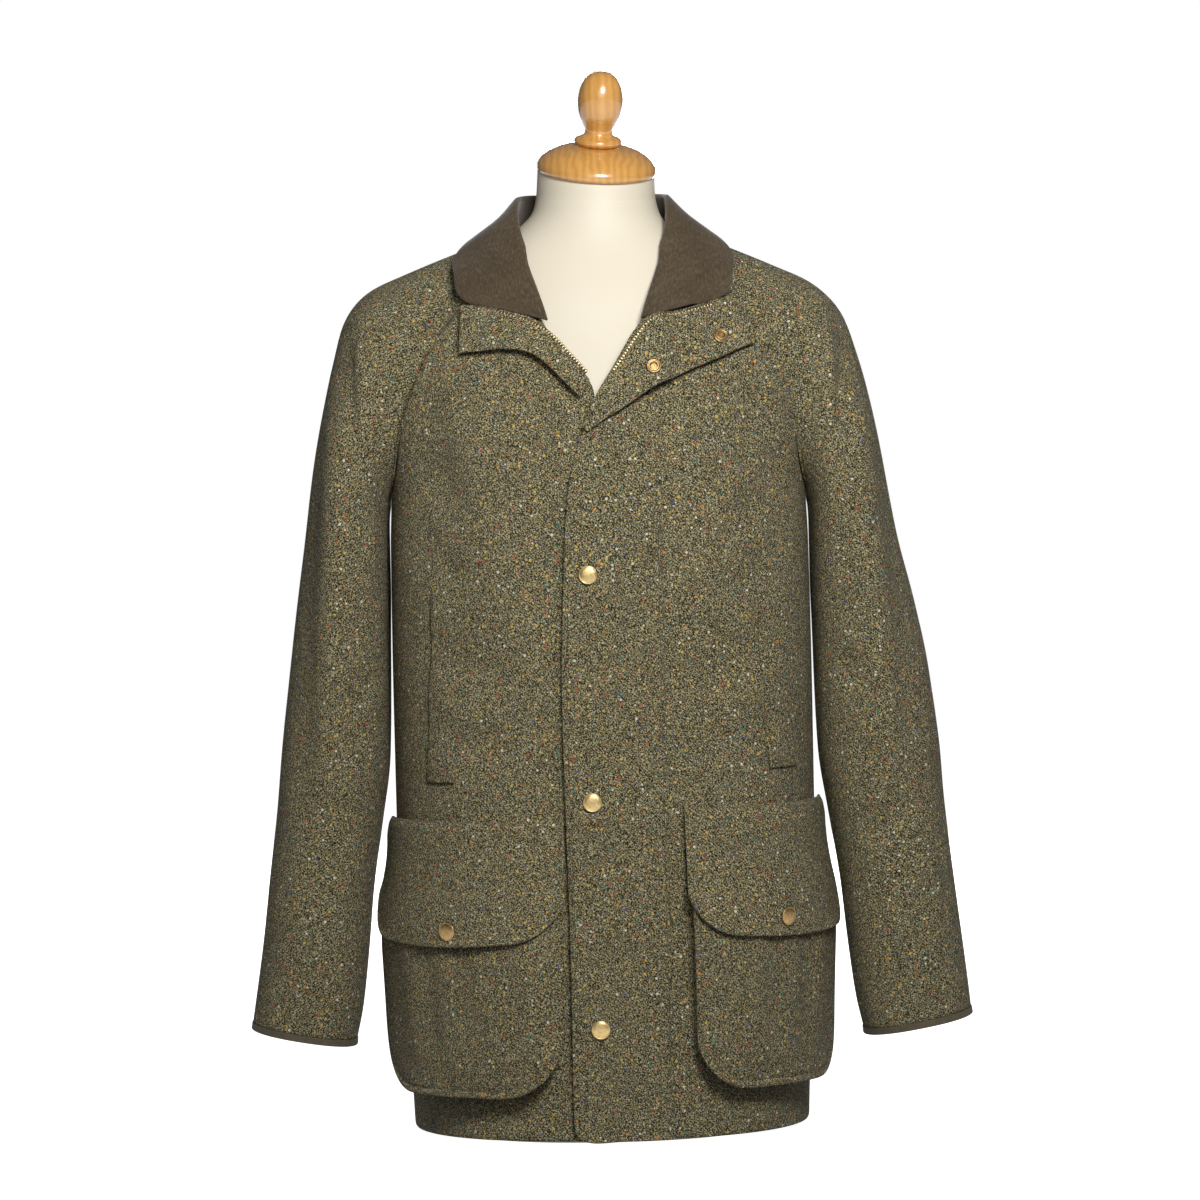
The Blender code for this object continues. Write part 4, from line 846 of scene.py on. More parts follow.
# -------------------------------------------------------------- sleeves ------
def seam_ring_point(side, share):
    """Where the sleeve is sewn on: underarm, front seam, neck edge, back seam."""
    nudge = SLEEVE_GAP * half_gap(BODY[-1][0])
    front_height = mix(UNDERARM, FRONT_TIP, np.clip(share / NECK_SHARE, 0, 1) ** CROWD)
    back_height = mix(UNDERARM, BACK_TIP, np.clip((1 - share) / NECK_SHARE, 0, 1) ** CROWD)
    front_turn = front_seam_turn(front_height) + nudge * np.minimum(share / 0.04, 1.0)
    back_turn = back_seam_turn(back_height) - nudge * np.minimum((1 - share) / 0.04, 1.0)
    across = np.clip((share - NECK_SHARE) / (1 - 2 * NECK_SHARE), 0, 1)
    height = np.where(share <= NECK_SHARE, front_height, back_height)
    turn = np.where(share <= NECK_SHARE, front_turn, back_turn)
    at_neck = (share > NECK_SHARE) & (share < 1 - NECK_SHARE)
    height = np.where(at_neck, mix(FRONT_TIP, BACK_TIP, across), height)
    tip_turns = front_seam_turn(FRONT_TIP) + nudge, back_seam_turn(BACK_TIP) - nudge
    turn = np.where(at_neck, mix(tip_turns[0], tip_turns[1], across), turn)
    lift = UNDERARM_EASE * (1 - ease(0.05, 0.20, np.minimum(share, 1 - share)))
    point = body_point(side * turn, height + lift)
    point[..., 0] += side * lift
    return point


def sleeve_ring_point(side, row, share):
    """Places on the rings of the sleeve, folds left out."""
    value = {name: read(SLEEVE, SLEEVE_COLUMNS, name, row) for name in SLEEVE_COLUMNS}
    out_x = value["out_x"] + value["left_wider" if side > 0 else "right_wider"]
    under = np.stack([value["under_x"], value["middle"], value["under_z"]], axis=-1)
    outside = np.stack([out_x, value["middle"], value["out_z"]], axis=-1)
    centre, axis = (under + outside) / 2, (outside - under) / 2
    angle = share * 2 * np.pi
    power = 2.0 / value["round"]
    along = -np.copysign(np.abs(np.cos(angle)) ** power, np.cos(angle))
    across = np.copysign(np.abs(np.sin(angle)) ** power, np.sin(angle))
    depth = np.where(across > 0, value["front"], value["back"])
    point = centre + axis * along[..., None]
    point[..., 1] -= across * depth
    point[..., 0] *= side
    return point


def sleeve_net(side, rows, shares):
    """The sleeve from its seam (row -1) down the rows of its table, with folds."""
    rows, shares = net(rows, shares)
    a = seam_ring_point(side, shares)
    b, c, after = (sleeve_ring_point(side, np.full_like(shares, row), shares) for row in (0, 1, 2))
    first = between(a, b, b - a, (c - a) / 2, np.clip(rows + 1, 0, 1)[..., None])
    second = between(b, c, (c - a) / 2, (after - b) / 2, np.clip(rows, 0, 1)[..., None])
    below = sleeve_ring_point(side, rows, shares)
    level = rows[..., None]
    grid = np.where(level < 0, first, np.where(level < 1, second, below))
    normals = net_normals(grid, closed=True, flip=side > 0)
    lift = fold_lift(grid, normals, SLEEVE_FOLDS) * ease(-0.9, 0.2, rows)
    return grid + normals * lift[..., None]


def sleeve(side, finish):
    """A raglan sleeve down to its cuff, and the tape that binds the cuff's edge."""
    name, binding = sided("sleeve", side), sided("cuff_binding", side)
    rows = np.concatenate([np.linspace(-1, 1, 22), np.linspace(1, CUFF_BINDING_ROW, 70)[1:]])
    shares = np.linspace(0, 1, 64, endpoint=False)
    arm = unit(np.array([side * 0.30, 0.0, -1.0]))
    piece = cloth(name + "_cloth", sleeve_net(side, rows, shares), TWEED, finish,
                  closed=True, flip=side > 0, axis=arm)
    belongs(piece, name)
    rows = CUFF_BINDING_ROW + np.array([-0.03, 0.1, 0.3, 0.6, 0.85, 1.0])
    grid = sleeve_net(side, rows, shares)
    grid = grid + net_normals(grid, True, side > 0) * BINDING_OUT
    tape = cloth(binding + "_tape", grid, BINDING_WALL, BINDING, closed=True, flip=side > 0)
    belongs(tape, binding)
    return piece, tape


# --------------------------------------------------- storm flap and lapels ---
def flap_lift(x, height):
    free = read(FLAP, FLAP_COLUMNS, "free", height)
    share = (x - free) / (FLAP_SEWN - free)
    over_zip = SEAT + 0.0030 * np.sin(np.pi * np.clip(1 - share, 0.0, 1.0) ** 0.8)
    near_slider = np.exp(-(((x - SLIDER_X) / 0.016) ** 2)) * ease(0.640, 0.682, height)
    return over_zip + 0.0026 * near_slider


def storm_flap_free(height):
    """The flap's free edge, drawn in round its corner at the hem."""
    rise = np.maximum(FLAP_HEM_CORNER - (height - HEM), 0.0)
    return read(FLAP, FLAP_COLUMNS, "free", height) + corner_inset(FLAP_HEM_CORNER, FLAP_HEM_CORNER - rise)


def storm_flap_surface(from_edge, height):
    """Outer face of the storm flap, by distance in from its free edge."""
    x = storm_flap_free(height) + from_edge
    stand = (0.0040 + 0.0012 * np.sin(height * 21.0)) * np.exp(-((from_edge / 0.016) ** 2))
    stand = stand * (1 - ease(0.60, 0.69, height))
    flush = ease(0.0, 0.006, FLAP_SEWN - x)
    return on_front(x, height, flap_lift(x, height) + stand + mix(FLAP_SEWN_EDGE, DOUBLE, flush))


def storm_flap():
    """The long flap over the zip: its free edge stands a little off the front."""
    rises = np.r_[0, 0.0015, 0.004, 0.008, 0.013, np.linspace(0.020, FLAP_TOP - HEM, 94)]
    heights, shares = net(HEM + rises, np.r_[0, 0.012, 0.04, np.linspace(0.08, 0.92, 13), 0.97, 1.0])
    reach = (FLAP_SEWN - storm_flap_free(heights)) * shares
    thickness = mix(FLAP_SEWN_EDGE, DOUBLE, ease(0.0, 0.006, (1 - shares) * 0.09))
    piece = cloth("storm_flap_cloth", storm_flap_surface(reach, heights), thickness, TWEED_CLOTH)
    return belongs(piece, "storm_flap")


def right_lapel_lift(_x, across):
    return EDGE_LIFT + 0.0012 * across * (1 - across) * 4


def left_lapel_lift(x, across):
    over_flap = 1 - ease(0.060, 0.075, x)
    return EDGE_LIFT + 0.0068 * over_flap + 0.0012 * across * (1 - across) * 4


def lapel_surface(rows, lift, stand, along, across):
    """Outer face of a lapel: along from the foot of the V, across to its outer edge."""
    steps = along * (len(rows) - 1)
    ends = [read(rows, LAPEL_COLUMNS, column, steps) for column in LAPEL_COLUMNS]
    x, height = mix(ends[0], ends[2], across), mix(ends[1], ends[3], across)
    return on_front(x, height, lift(x, across) + DOUBLE + stand(along, across))


def lapel(name, rows, lift, stand, finish, flip):
    """A turned-back edge: its outer edge stands off the front and throws a shadow."""
    alongs, acrosses = net(np.linspace(0, 1, 60), np.r_[0, 0.03, np.linspace(0.08, 0.92, 12), 0.97, 1.0])
    outer = lapel_surface(rows, lift, stand, alongs, acrosses)
    piece = cloth(name + "_cloth", outer, DOUBLE, finish, flip=flip, turn_weave=True)
    return belongs(piece, name)


def right_stand(along, across):
    return 0.0048 * across**2 * np.sin(np.pi * np.clip(along, 0.02, 0.98)) ** 0.7 + 0.0012 * across


def left_stand(along, across):
    settle = ease(0.0, 0.22, along)
    risen = 0.0036 * across**2 * settle * (1 - 0.4 * ease(0.8, 1.0, along))
    return risen - 0.0050 * (1 - settle) * (1 - across * 0.4)


# ------------------------------------------------------------- collar --------
def collar_stations():
    stations = [[np.array(point) for point in station] for station in COLLAR_BEHIND]
    for row in COLLAR_FRONT:
        at = named(COLLAR_FRONT_COLUMNS, row)
        middle_x = (at["roll_x"] + at["edge_x"]) / 2
        middle_z = (at["roll_z"] + at["edge_z"]) / 2 + at["bow"]
        stations.append([
            on_front(at["roll_x"] - 0.0030, at["roll_z"], 0.0010),
            on_front(at["roll_x"] + 0.0020, at["roll_z"], 0.0050),
            on_front(middle_x, middle_z, 0.0060),
            on_front(at["edge_x"], at["edge_z"], 0.0036),
        ])
    return stations


def curve_through(points, at):
    """A smooth curve through points, one unit of at apart."""
    last = len(points) - 1
    low = min(int(at), last - 1)
    before, start, end, after = (points[min(max(low + k, 0), last)] for k in (-1, 0, 1, 2))
    return between(start, end, (end - before) / 2, (after - start) / 2, at - low)


def collar():
    """Soft turned-down collar, rolled over its stand and flat on the shoulders."""
    half = collar_stations()
    last = len(half) - 1
    mirror = np.array([-1.0, 1.0, 1.0])
    lines = [[half[abs(i)][k] * (mirror if i < 0 else 1.0) for i in range(-last, last + 1)] for k in range(4)]
    grid = []
    for along in np.linspace(0, 2 * last, 116):
        station = [curve_through(line, along) for line in lines]
        grid.append([curve_through(station, across) for across in np.linspace(0, 3, 26)])
    grid = np.array(grid)
    normals = net_normals(grid)
    soft = 0.0012 * np.sin(np.linspace(0, 23.0, 116))[:, None] * np.sin(np.linspace(0, np.pi, 26))[None, :] ** 2
    grid = grid + normals * soft[..., None]
    piece = cloth("collar_cloth", grid, DOUBLE, MOLESKIN)
    return belongs(piece, "collar")


# ------------------------------------------------------------ pockets --------
def pocket_turn(pocket, share, height):
    return pocket["side"] * mix(turn_of(pocket["start_x"], height), pocket["end_turn"], share)


def corner_inset(radius, rise):
    bend = np.maximum(radius - rise, 0.0)
    return radius - np.sqrt(np.maximum(radius**2 - bend**2, 0.0))


def bag_depth(pocket, height):
    low, top = pocket["bag_low"], pocket["top"] - BAG_DROP
    return BAG_DEPTH * (1 - BAG_TAPER * ease(0.13, top - low, height - low)) + BAG_EASE


def bag_surface(pocket, x, rise):
    """Outer face of a bellows pocket, flat places in metres from its lower corner.

    The first few millimetres in from its outline are the gusset, folded in
    behind a full face that ends in a stitched rim.
    """
    near, far = np.minimum(x, BAG_CORNER), np.minimum(BAG_WIDTH - x, BAG_CORNER_OUT)
    in_near = BAG_CORNER - np.hypot(BAG_CORNER - near, BAG_CORNER - np.minimum(rise, BAG_CORNER))
    in_far = BAG_CORNER_OUT - np.hypot(BAG_CORNER_OUT - far, BAG_CORNER_OUT - np.minimum(rise, BAG_CORNER_OUT))
    centre_x = np.clip(x, BAG_CORNER, BAG_WIDTH - BAG_CORNER_OUT)
    is_near = x < BAG_WIDTH / 2
    inward = np.where(is_near, in_near, in_far)
    radius = np.where(is_near, BAG_CORNER, BAG_CORNER_OUT)
    toward_x, toward_z = centre_x - x, np.maximum(radius - rise, 0.0)
    length = np.maximum(np.hypot(toward_x, toward_z), 1e-9)
    wall_share = np.clip(inward / BAG_WALL, 0, 1)
    tucked = 0.0030 * (1 - wall_share) + 0.0030 * np.sin(np.pi * wall_share)
    face = inward - BAG_WALL * np.exp(-np.maximum(inward - BAG_WALL, 0.0) / 0.012)
    shift = np.where(inward < BAG_WALL, tucked, face) - inward
    x, rise = x + shift * toward_x / length, rise + shift * toward_z / length
    across, height = x / BAG_WIDTH, pocket["bag_low"] + rise
    middle = np.sin(np.pi * np.clip(across, 0, 1)) * ease(0.0, 0.06, rise)
    slack = 0.0024 * np.sin(8.0 * across + 11.0 * rise) * middle
    slack = slack + 0.0018 * np.sin(31.0 * across - 4.0 * rise) * middle**2
    ridge = 0.0011 * np.exp(-(((inward - BAG_WALL - 0.0022) / 0.0020) ** 2))
    groove = -0.0009 * np.exp(-(((inward - BAG_WALL - 0.0058) / 0.0016) ** 2))
    full = bag_depth(pocket, height)
    depth = full + slack + (ridge + groove) * ease(0.0, 0.004, full - SEAT - TWEED)
    out = SEAT + TWEED + (depth - SEAT - TWEED) * wall_share
    return body_point(pocket_turn(pocket, across, height), height, out)


def bag(pocket, finish):
    rim = np.r_[0, 0.0007, 0.0014, 0.0021, 0.0028, np.linspace(0.0036, 0.0120, 12), 0.014, 0.017, 0.021]
    rises = np.r_[rim, np.linspace(0.026, pocket["top"] - BAG_DROP - pocket["bag_low"], 42)]
    near = corner_inset(BAG_CORNER, rises)[:, None]
    far = BAG_WIDTH - corner_inset(BAG_CORNER_OUT, rises)[:, None]
    middle = mix(near + rim[-1], far - rim[-1], np.linspace(0, 1, 32)[None, 1:-1])
    x = np.concatenate([near + rim, middle, far - rim[::-1]], axis=1)
    grid = bag_surface(pocket, x, np.broadcast_to(rises[:, None], x.shape))
    name = sided("pocket_bag", pocket["side"])
    flat = x, np.broadcast_to(rises[:, None], x.shape)
    piece = cloth(name + "_cloth", grid, BAG_CLOTH, finish, flip=pocket["side"] < 0, flat=flat)
    return belongs(piece, name)


def pocket_flap_lift(pocket, height):
    over_bag = bag_depth(pocket, height) + BAG_CLOTH
    return mix(EDGE_LIFT, over_bag, ease(0.0, 0.75 * BAG_DROP, pocket["top"] - height))


def flap_place(pocket, share, drop):
    """Turn and height of a place on a pocket flap: shares across, drop down."""
    reach = np.minimum(share, 1 - share) * FLAP_WIDTH
    rise = corner_inset(FLAP_CORNER, reach)
    sag = FLAP_SAG * (2 * np.abs(share - 0.5)) ** 2
    height = mix(pocket["top"], pocket["flap_low"] + rise + sag, drop)
    return pocket_turn(pocket, mix(-0.012, 1.012, share), height), height


def pocket_flap_out(pocket, share, drop, height):
    """Outer face: a pressed ridge at the seam, a rim inside its edge, a lifted lower edge."""
    seam = 0.0016 * np.exp(-(((pocket["top"] - height) - 0.004) / 0.004) ** 2)
    groove = -0.0010 * np.exp(-(((pocket["top"] - height) - 0.0125) / 0.0030) ** 2)
    edge = np.minimum(np.minimum(share, 1 - share) * FLAP_WIDTH, (1 - drop) * 0.10)
    rim = 0.0006 * np.exp(-((edge / 0.004) ** 2)) - 0.0005 * np.exp(-(((edge - 0.0065) / 0.0020) ** 2))
    lifted = 0.0026 * drop**6 * (0.6 + 0.4 * np.sin(9.0 * share + pocket["side"]))
    return pocket_flap_lift(pocket, height) + DOUBLE + seam + groove + rim + lifted


def pocket_flap_surface(pocket, share, drop):
    turn, height = flap_place(pocket, share, drop)
    return body_point(turn, height, pocket_flap_out(pocket, share, drop, height))


def pocket_flap(pocket, finish):
    shares = np.r_[0, 0.006, 0.02, 0.045, np.linspace(0.07, 0.93, 40), 0.955, 0.98, 0.994, 1.0]
    drops, shares = net(np.r_[0, 0.03, 0.07, 0.11, 0.15, np.linspace(0.2, 0.9, 18), 0.935, 0.965, 0.985, 1.0], shares)
    grid = pocket_flap_surface(pocket, shares, drops)
    name = sided("pocket_flap", pocket["side"])
    piece = cloth(name + "_cloth", grid, DOUBLE, finish, flip=pocket["side"] > 0,
                  flat=(shares * FLAP_WIDTH, grid[..., 2]))
    return belongs(piece, name)


def welt_surface(row, share, height):
    lean = WELT_LEAN * (row["top"] - height) / (row["top"] - row["low"])
    x = row["side"] * (mix(row["inner_x"], row["outer_x"], share) + lean)
    return on_front(x, height, SEAT + TWEED + 0.0008 * np.sin(np.pi * np.clip(share, 0, 1)))


def welt(row, finish):
    shares = np.r_[0, 0.05, np.linspace(0.14, 0.86, 8), 0.95, 1.0]
    heights, shares = net(np.linspace(row["low"], row["top"], 46), shares)
    name = sided("welt", row["side"])
    piece = cloth(name + "_cloth", welt_surface(row, shares, heights), TWEED, finish, flip=row["side"] < 0)
    return belongs(piece, name)


# -------------------------------------------------------- hard pieces --------
def edit(item):
    bpy.ops.object.select_all(action="DESELECT")
    bpy.context.view_layer.objects.active = item
    item.select_set(True)
    bpy.ops.object.mode_set(mode="EDIT")
    bpy.ops.mesh.select_all(action="SELECT")


def leave_edit():
    bpy.ops.object.mode_set(mode="OBJECT")
    bpy.ops.object.select_all(action="DESELECT")


def smooth_by_angle(item, degrees):
    item.data.shade_smooth()
    item.select_set(True)
    bpy.context.view_layer.objects.active = item
    bpy.ops.object.shade_smooth_by_angle(angle=math.radians(degrees))
    bpy.ops.object.select_all(action="DESELECT")


def turned(name, profile, finish, sides=48):
    """A disc drawn up its profile: each ring is extruded from the last and scaled."""
    radius, height = profile[0]
    bpy.ops.mesh.primitive_circle_add(vertices=sides, radius=radius, fill_type="NGON", location=(0, 0, 0))
    item = bpy.context.object
    item.name = item.data.name = name
    item.data.transform(Matrix.Translation((0, 0, height)))
    edit(item)
    bpy.ops.mesh.select_mode(type="FACE")
    for next_radius, next_height in profile[1:]:
        bpy.ops.mesh.extrude_region_move(TRANSFORM_OT_translate={"value": (0, 0, next_height - height)})
        ratio = next_radius / radius
        bpy.ops.transform.resize(value=(ratio, ratio, 1.0), center_override=(0, 0, 0))
        radius, height = next_radius, next_height
    bpy.ops.mesh.select_all(action="SELECT")
    bpy.ops.mesh.remove_doubles(threshold=0.00001)
    bpy.ops.mesh.normals_make_consistent(inside=False)
    leave_edit()
    item.data.materials.append(finish)
    smooth_by_angle(item, CREASE)
    return item


def fitted(item, place, node):
    """Moves a turned piece to its place and lets it stand for its node."""
    item.data.transform(place)
    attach(item, "root")
    belongs(item, node)


def facing(point, normal):
    """A place whose Z axis is the normal of the cloth it sits on."""
    z = Vector(normal).normalized()
    x = Vector((0, 0, 1)).cross(z).normalized()
    return Matrix.Translation(Vector(point)) @ Matrix((x, z.cross(x), z)).transposed().to_4x4()


def arc(start, end, count):
    return [math.radians(start + (end - start) * i / (count - 1)) for i in range(count)]


def snap_cap(name, point, normal, finish):
    """A pressed cap: thin rolled rim, fine groove, low dome."""
    radius, rise = SNAP_RADIUS, SNAP_RISE
    profile = [(radius * 0.90, 0.0), (radius, rise * 0.25), (radius, rise * 0.45)]
    profile += [(radius * (0.90 + 0.10 * math.cos(a)), rise * (0.45 + 0.30 * math.sin(a))) for a in arc(20, 140, 6)]
    profile += [(radius * 0.90, rise * 0.62)]
    profile += [(radius * 0.88 * math.cos(a) + 0.00002, rise * (0.62 + 0.38 * math.sin(a))) for a in arc(6, 90, 9)]
    item = turned(name + "_cap", profile, finish)
    fitted(item, facing(point, normal), name)


def ring_socket(name, point, normal):
    """An open ring with its recess and the sprung bead inside it."""
    profile = [(0.0066, 0.0), (0.0070, 0.0005), (0.0070, 0.0011)]
    profile += [(0.0060 + 0.0010 * math.cos(a), 0.0011 + 0.0009 * math.sin(a)) for a in arc(20, 160, 6)]
    profile += [(0.0044, 0.0013), (0.0040, 0.0014)]
    profile += [(0.0036 + 0.0006 * math.cos(a), 0.0014 + 0.0006 * math.sin(a)) for a in arc(30, 170, 5)]
    profile += [(0.0028, 0.0010), (0.0026, 0.0003), (0.0001, 0.0003)]
    # The ring takes the darker brass copy, which is painted shade.
    item = turned(name + "_ring", profile, BRASS_SHADED_COPY, sides=40)
    fitted(item, facing(point, normal), name)


def copies(name, pattern, places, finish):
    """One mesh that repeats a small modelled pattern at many places."""
    base = np.array([tuple(v.co) for v in pattern.data.vertices])
    faces = [tuple(face.vertices) for face in pattern.data.polygons]
    vertices, all_faces = [], []
    for n, matrix in enumerate(places):
        vertices.append(base @ matrix[:3, :3].T + matrix[:3, 3])
        all_faces += [tuple(v + n * len(base) for v in face) for face in faces]
    item = mesh_object(name, np.concatenate(vertices), all_faces, finish)
    item.data.shade_smooth()
    bpy.data.objects.remove(pattern, do_unlink=True)
    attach(item, "root")
    return item


def along_line(points, normals, pitch):
    """Evenly spaced frames on a line: X along it, Z out of the cloth."""
    lengths = np.r_[0, np.cumsum(np.linalg.norm(np.diff(points, axis=0), axis=1))]
    spots = np.arange(0.5 * pitch, lengths[-1], pitch)

    def picked(values, at):
        return np.stack([np.interp(at, lengths, values[:, k]) for k in range(3)], axis=-1)

    forward = unit(picked(points, spots + pitch / 4) - picked(points, spots - pitch / 4))
    side = unit(np.cross(unit(picked(normals, spots)), forward))
    return np.stack([forward, side, np.cross(forward, side), picked(points, spots)], axis=-1)


def stitch_pattern():
    """One stitch: a short rounded length of thread."""
    bpy.ops.mesh.primitive_uv_sphere_add(segments=6, ring_count=4, radius=1.0)
    item = bpy.context.object
    edit(item)
    bpy.ops.transform.resize(value=(STITCH / 2, THREAD_WIDTH / 2, THREAD_WIDTH / 2), center_override=(0, 0, 0))
    leave_edit()
    return item


def seam_line(surface, u, v):
    """Points and outward normals along a line drawn on one of the surfaces."""
    u, v = np.broadcast_arrays(np.asarray(u, float), np.asarray(v, float))
    step = 0.0004
    points = surface(u, v)
    normals = unit(np.cross(surface(u + step, v) - points, surface(u, v + step) - points))
    away = np.sum(normals * points * [1, 1, 0], axis=-1, keepdims=True)
    return points, normals * np.where(away < 0, -1.0, 1.0)


def sew(name, lines):
    """A row of stitches along each line, half sunk in the cloth."""
    frames = np.concatenate([along_line(points, normals, STITCH_PITCH) for points, normals in lines])
    item = copies(name, stitch_pattern(), frames, THREAD)
    return item


def flap_seams(pocket):
    """Round the pocket flap's free edges and twice along its seam."""
    face = partial(pocket_flap_surface, pocket)
    inset = 0.0062 / FLAP_WIDTH
    sides, low_edge, seam = np.linspace(0.13, 0.90, 30), np.linspace(inset, 1 - inset, 90), np.linspace(0.01, 0.99, 90)
    runs = ((inset, sides), (low_edge, 0.938), (1 - inset, sides), (seam, 0.015), (seam, 0.105))
    return [seam_line(face, share, drop) for share, drop in runs]


def bag_seam(pocket):
    """Down one side of the pocket, round both lower corners and up the other."""
    inset = BAG_WALL + 0.0058
    near, far = BAG_CORNER - inset, BAG_CORNER_OUT - inset
    turn_in, turn_out = np.linspace(np.pi, 1.5 * np.pi, 30), np.linspace(1.5 * np.pi, 2 * np.pi, 30)
    x = np.r_[np.full(20, inset), BAG_CORNER + near * np.cos(turn_in),
              BAG_WIDTH - BAG_CORNER_OUT + far * np.cos(turn_out), np.full(20, BAG_WIDTH - inset)]
    rise = np.r_[np.linspace(BAG_CORNER, 0.13, 20)[::-1], BAG_CORNER + near * np.sin(turn_in),
                 BAG_CORNER_OUT + far * np.sin(turn_out), np.linspace(BAG_CORNER_OUT, 0.13, 20)]
    return seam_line(partial(bag_surface, pocket), x, rise)


def welt_seams(row):
    """Along the welt's outer edge, with three short tacks at its lower end."""
    face = partial(welt_surface, row)
    lines = [seam_line(face, 0.90, np.linspace(row["low"] + 0.004, row["top"] - 0.004, 60))]
    for k in range(3):
        end = row["low"] + 0.003 + 0.0016 * k
        lines.append(seam_line(face, np.linspace(0.05, 0.95, 12), end + np.linspace(0.0, 0.004, 12)))
    return lines


# ---------------------------------------------------------------- zip --------
def tooth_pattern():
    """One tooth: a small block with its edges eased."""
    bpy.ops.mesh.primitive_cube_add(size=1.0)
    item = bpy.context.object
    edit(item)
    bpy.ops.transform.resize(value=TOOTH, center_override=(0, 0, 0))
    bpy.ops.mesh.bevel(offset=0.00045, segments=2)
    leave_edit()
    return item


def zip_line(rows, lift, shift=0.0):
    """Points and normals along one side of the open zip, out on the lapel."""
    steps = np.linspace(0, len(rows) - 1, 120)
    x, z = (read(rows, ZIP_COLUMNS, name, steps) for name in ZIP_COLUMNS)
    normals = front_normal(x, z)
    points = on_front(x, z, lift(x))
    forward = unit(np.gradient(points, axis=0))
    side = unit(np.cross(normals, forward))
    side = side * np.where(side[:, 2:3] > 0, -1.0, 1.0)
    return points + side * shift, normals


def zip_half(name, rows, lift):
    """Tape along the lapel's inner edge, its teeth and the stop at its end."""
    body, normals = zip_line(rows, lift)
    low = zip_line(rows, lift, ZIP_TAPE_AND_SHADE_REACH)[0]
    shares = np.linspace(0, 1, 8)[None, :, None]
    grid = body[:, None] + (low - body)[:, None] * (shares * 1.25 - 0.25)
    grid = grid + normals[:, None] * 0.0009
    # The tape below the teeth is near-black: partly tape, partly painted shadow of the gap.
    tape = cloth(name + "_tape", grid, 0.0008, ZIP_TAPE_AND_GAP_SHADE, flip=rows is ZIP_RIGHT, turn_weave=True, rounds=0)
    spots, ups = zip_line(rows, lift, -0.0004)
    frames = along_line(spots + ups * 0.0014, ups, TOOTH_PITCH)
    teeth = copies(name + "_teeth", tooth_pattern(), frames, BRASS_TEETH)
    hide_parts(name)
    stop = tooth_pattern()
    stop.name = stop.data.name = name + "_stop"
    end = frames[-1].copy()
    end[:, 3] += end[:, 0] * 0.0036
    stop.data.transform(Matrix.Diagonal((1.6, 1.25, 1.2, 1.0)))
    stop.data.transform(Matrix([tuple(row) for row in end] + [(0, 0, 0, 1)]))
    stop.data.materials.append(BRASS_TEETH)
    stop.data.shade_smooth()
    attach(stop, "root")


# --------------------------------------------------------- dress form --------
def dress_form():
    """The form's smooth covered body, its neck cut level with the tilted cap."""
    heights = np.r_[0.0, 0.002, 0.010, np.linspace(0.025, 0.80, 60), np.linspace(0.806, NECK_TOP, 34)]
    heights, steps = net(heights, np.arange(96))
    grid = ring_point(FORM, FORM_COLUMNS, -1 + steps / 48, heights)
    grid[..., 0] += read(FORM, FORM_COLUMNS, "shift", heights)
    tilt = ease(0.872, 0.892, heights)
    grid[..., 2] += tilt * ((grid[..., 1] - CAP_CENTRE.y) * math.tan(CAP_TILT)
                            - (grid[..., 0] - CAP_CENTRE.x) * math.tan(CAP_ROLL))
    grid[0] = grid[0] * [0.985, 0.985, 1.0]
    rows, columns = grid.shape[:2]
    ring = [(j, (j + 1) % columns) for j in range(columns)]
    faces = [(low + j, low + k, low + columns + k, low + columns + j)
             for low in range(0, (rows - 1) * columns, columns) for j, k in ring]
    faces += [tuple(range(columns))[::-1], tuple(range((rows - 1) * columns, rows * columns))]
    item = mesh_object("form_covered_body", grid.reshape(-1, 3), faces, COVER)
    face_outwards(item)
    smooth_by_angle(item, NECK_CREASE)
    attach(item, "root")
    belongs(item, "form_body")


def cap_place():
    turn = Matrix.Rotation(CAP_ROLL, 4, "Y") @ Matrix.Rotation(CAP_TILT, 4, "X")
    return Matrix.Translation(CAP_CENTRE) @ turn


def smooth_profile(rows, count):
    """A profile drawn smoothly through a few (radius, height) rows."""
    steps = np.linspace(0, len(rows) - 1, count)
    points = [curve_through([np.array(row) for row in rows], step) for step in steps]
    return [(max(float(r), 0.0002), float(h)) for r, h in points]


def beech_pieces():
    """The domed neck cap and the finial, both turned about the tilted neck."""
    cap = [(0.0545, 0.0005), (0.0560, 0.0020), (CAP_RADIUS, 0.0050), (0.0553, 0.0095), (0.0510, 0.0150),
           (0.0430, 0.0205), (0.0330, 0.0245), (0.0210, 0.0262), (0.0100, 0.0266)]
    finial = [(0.0198, 0.0272), (0.0222, 0.0300), (0.0216, 0.0332), (0.0180, 0.0352), (0.0138, 0.0374),
              (0.0128, 0.0415), (0.0152, 0.0470), (0.0190, 0.0550), (0.0210, 0.0640), (0.0212, 0.0735),
              (0.0186, 0.0840), (0.0137, 0.0920), (0.0072, 0.0962), (0.0003, 0.0975)]
    for name, rows, count in (("neck_cap", cap, 34), ("finial", finial, 66)):
        item = turned(name + "_beech", smooth_profile(rows, count), BEECH, sides=72)
        fitted(item, cap_place(), name)


# ------------------------------------------------------------- camera --------
camera = bpy.data.cameras.new("camera")
camera.lens, camera.sensor_width = CAMERA_LENS, 36.0
view = bpy.data.objects.new("camera", camera)
view.location = CAMERA_PLACE
view.rotation_euler = (Vector(CAMERA_LOOK).to_track_quat("-Z", "Y").to_matrix()
                       @ Matrix.Rotation(CAMERA_ROLL, 3, "Z")).to_euler()
bpy.context.scene.collection.objects.link(view)
bpy.context.scene.camera = view

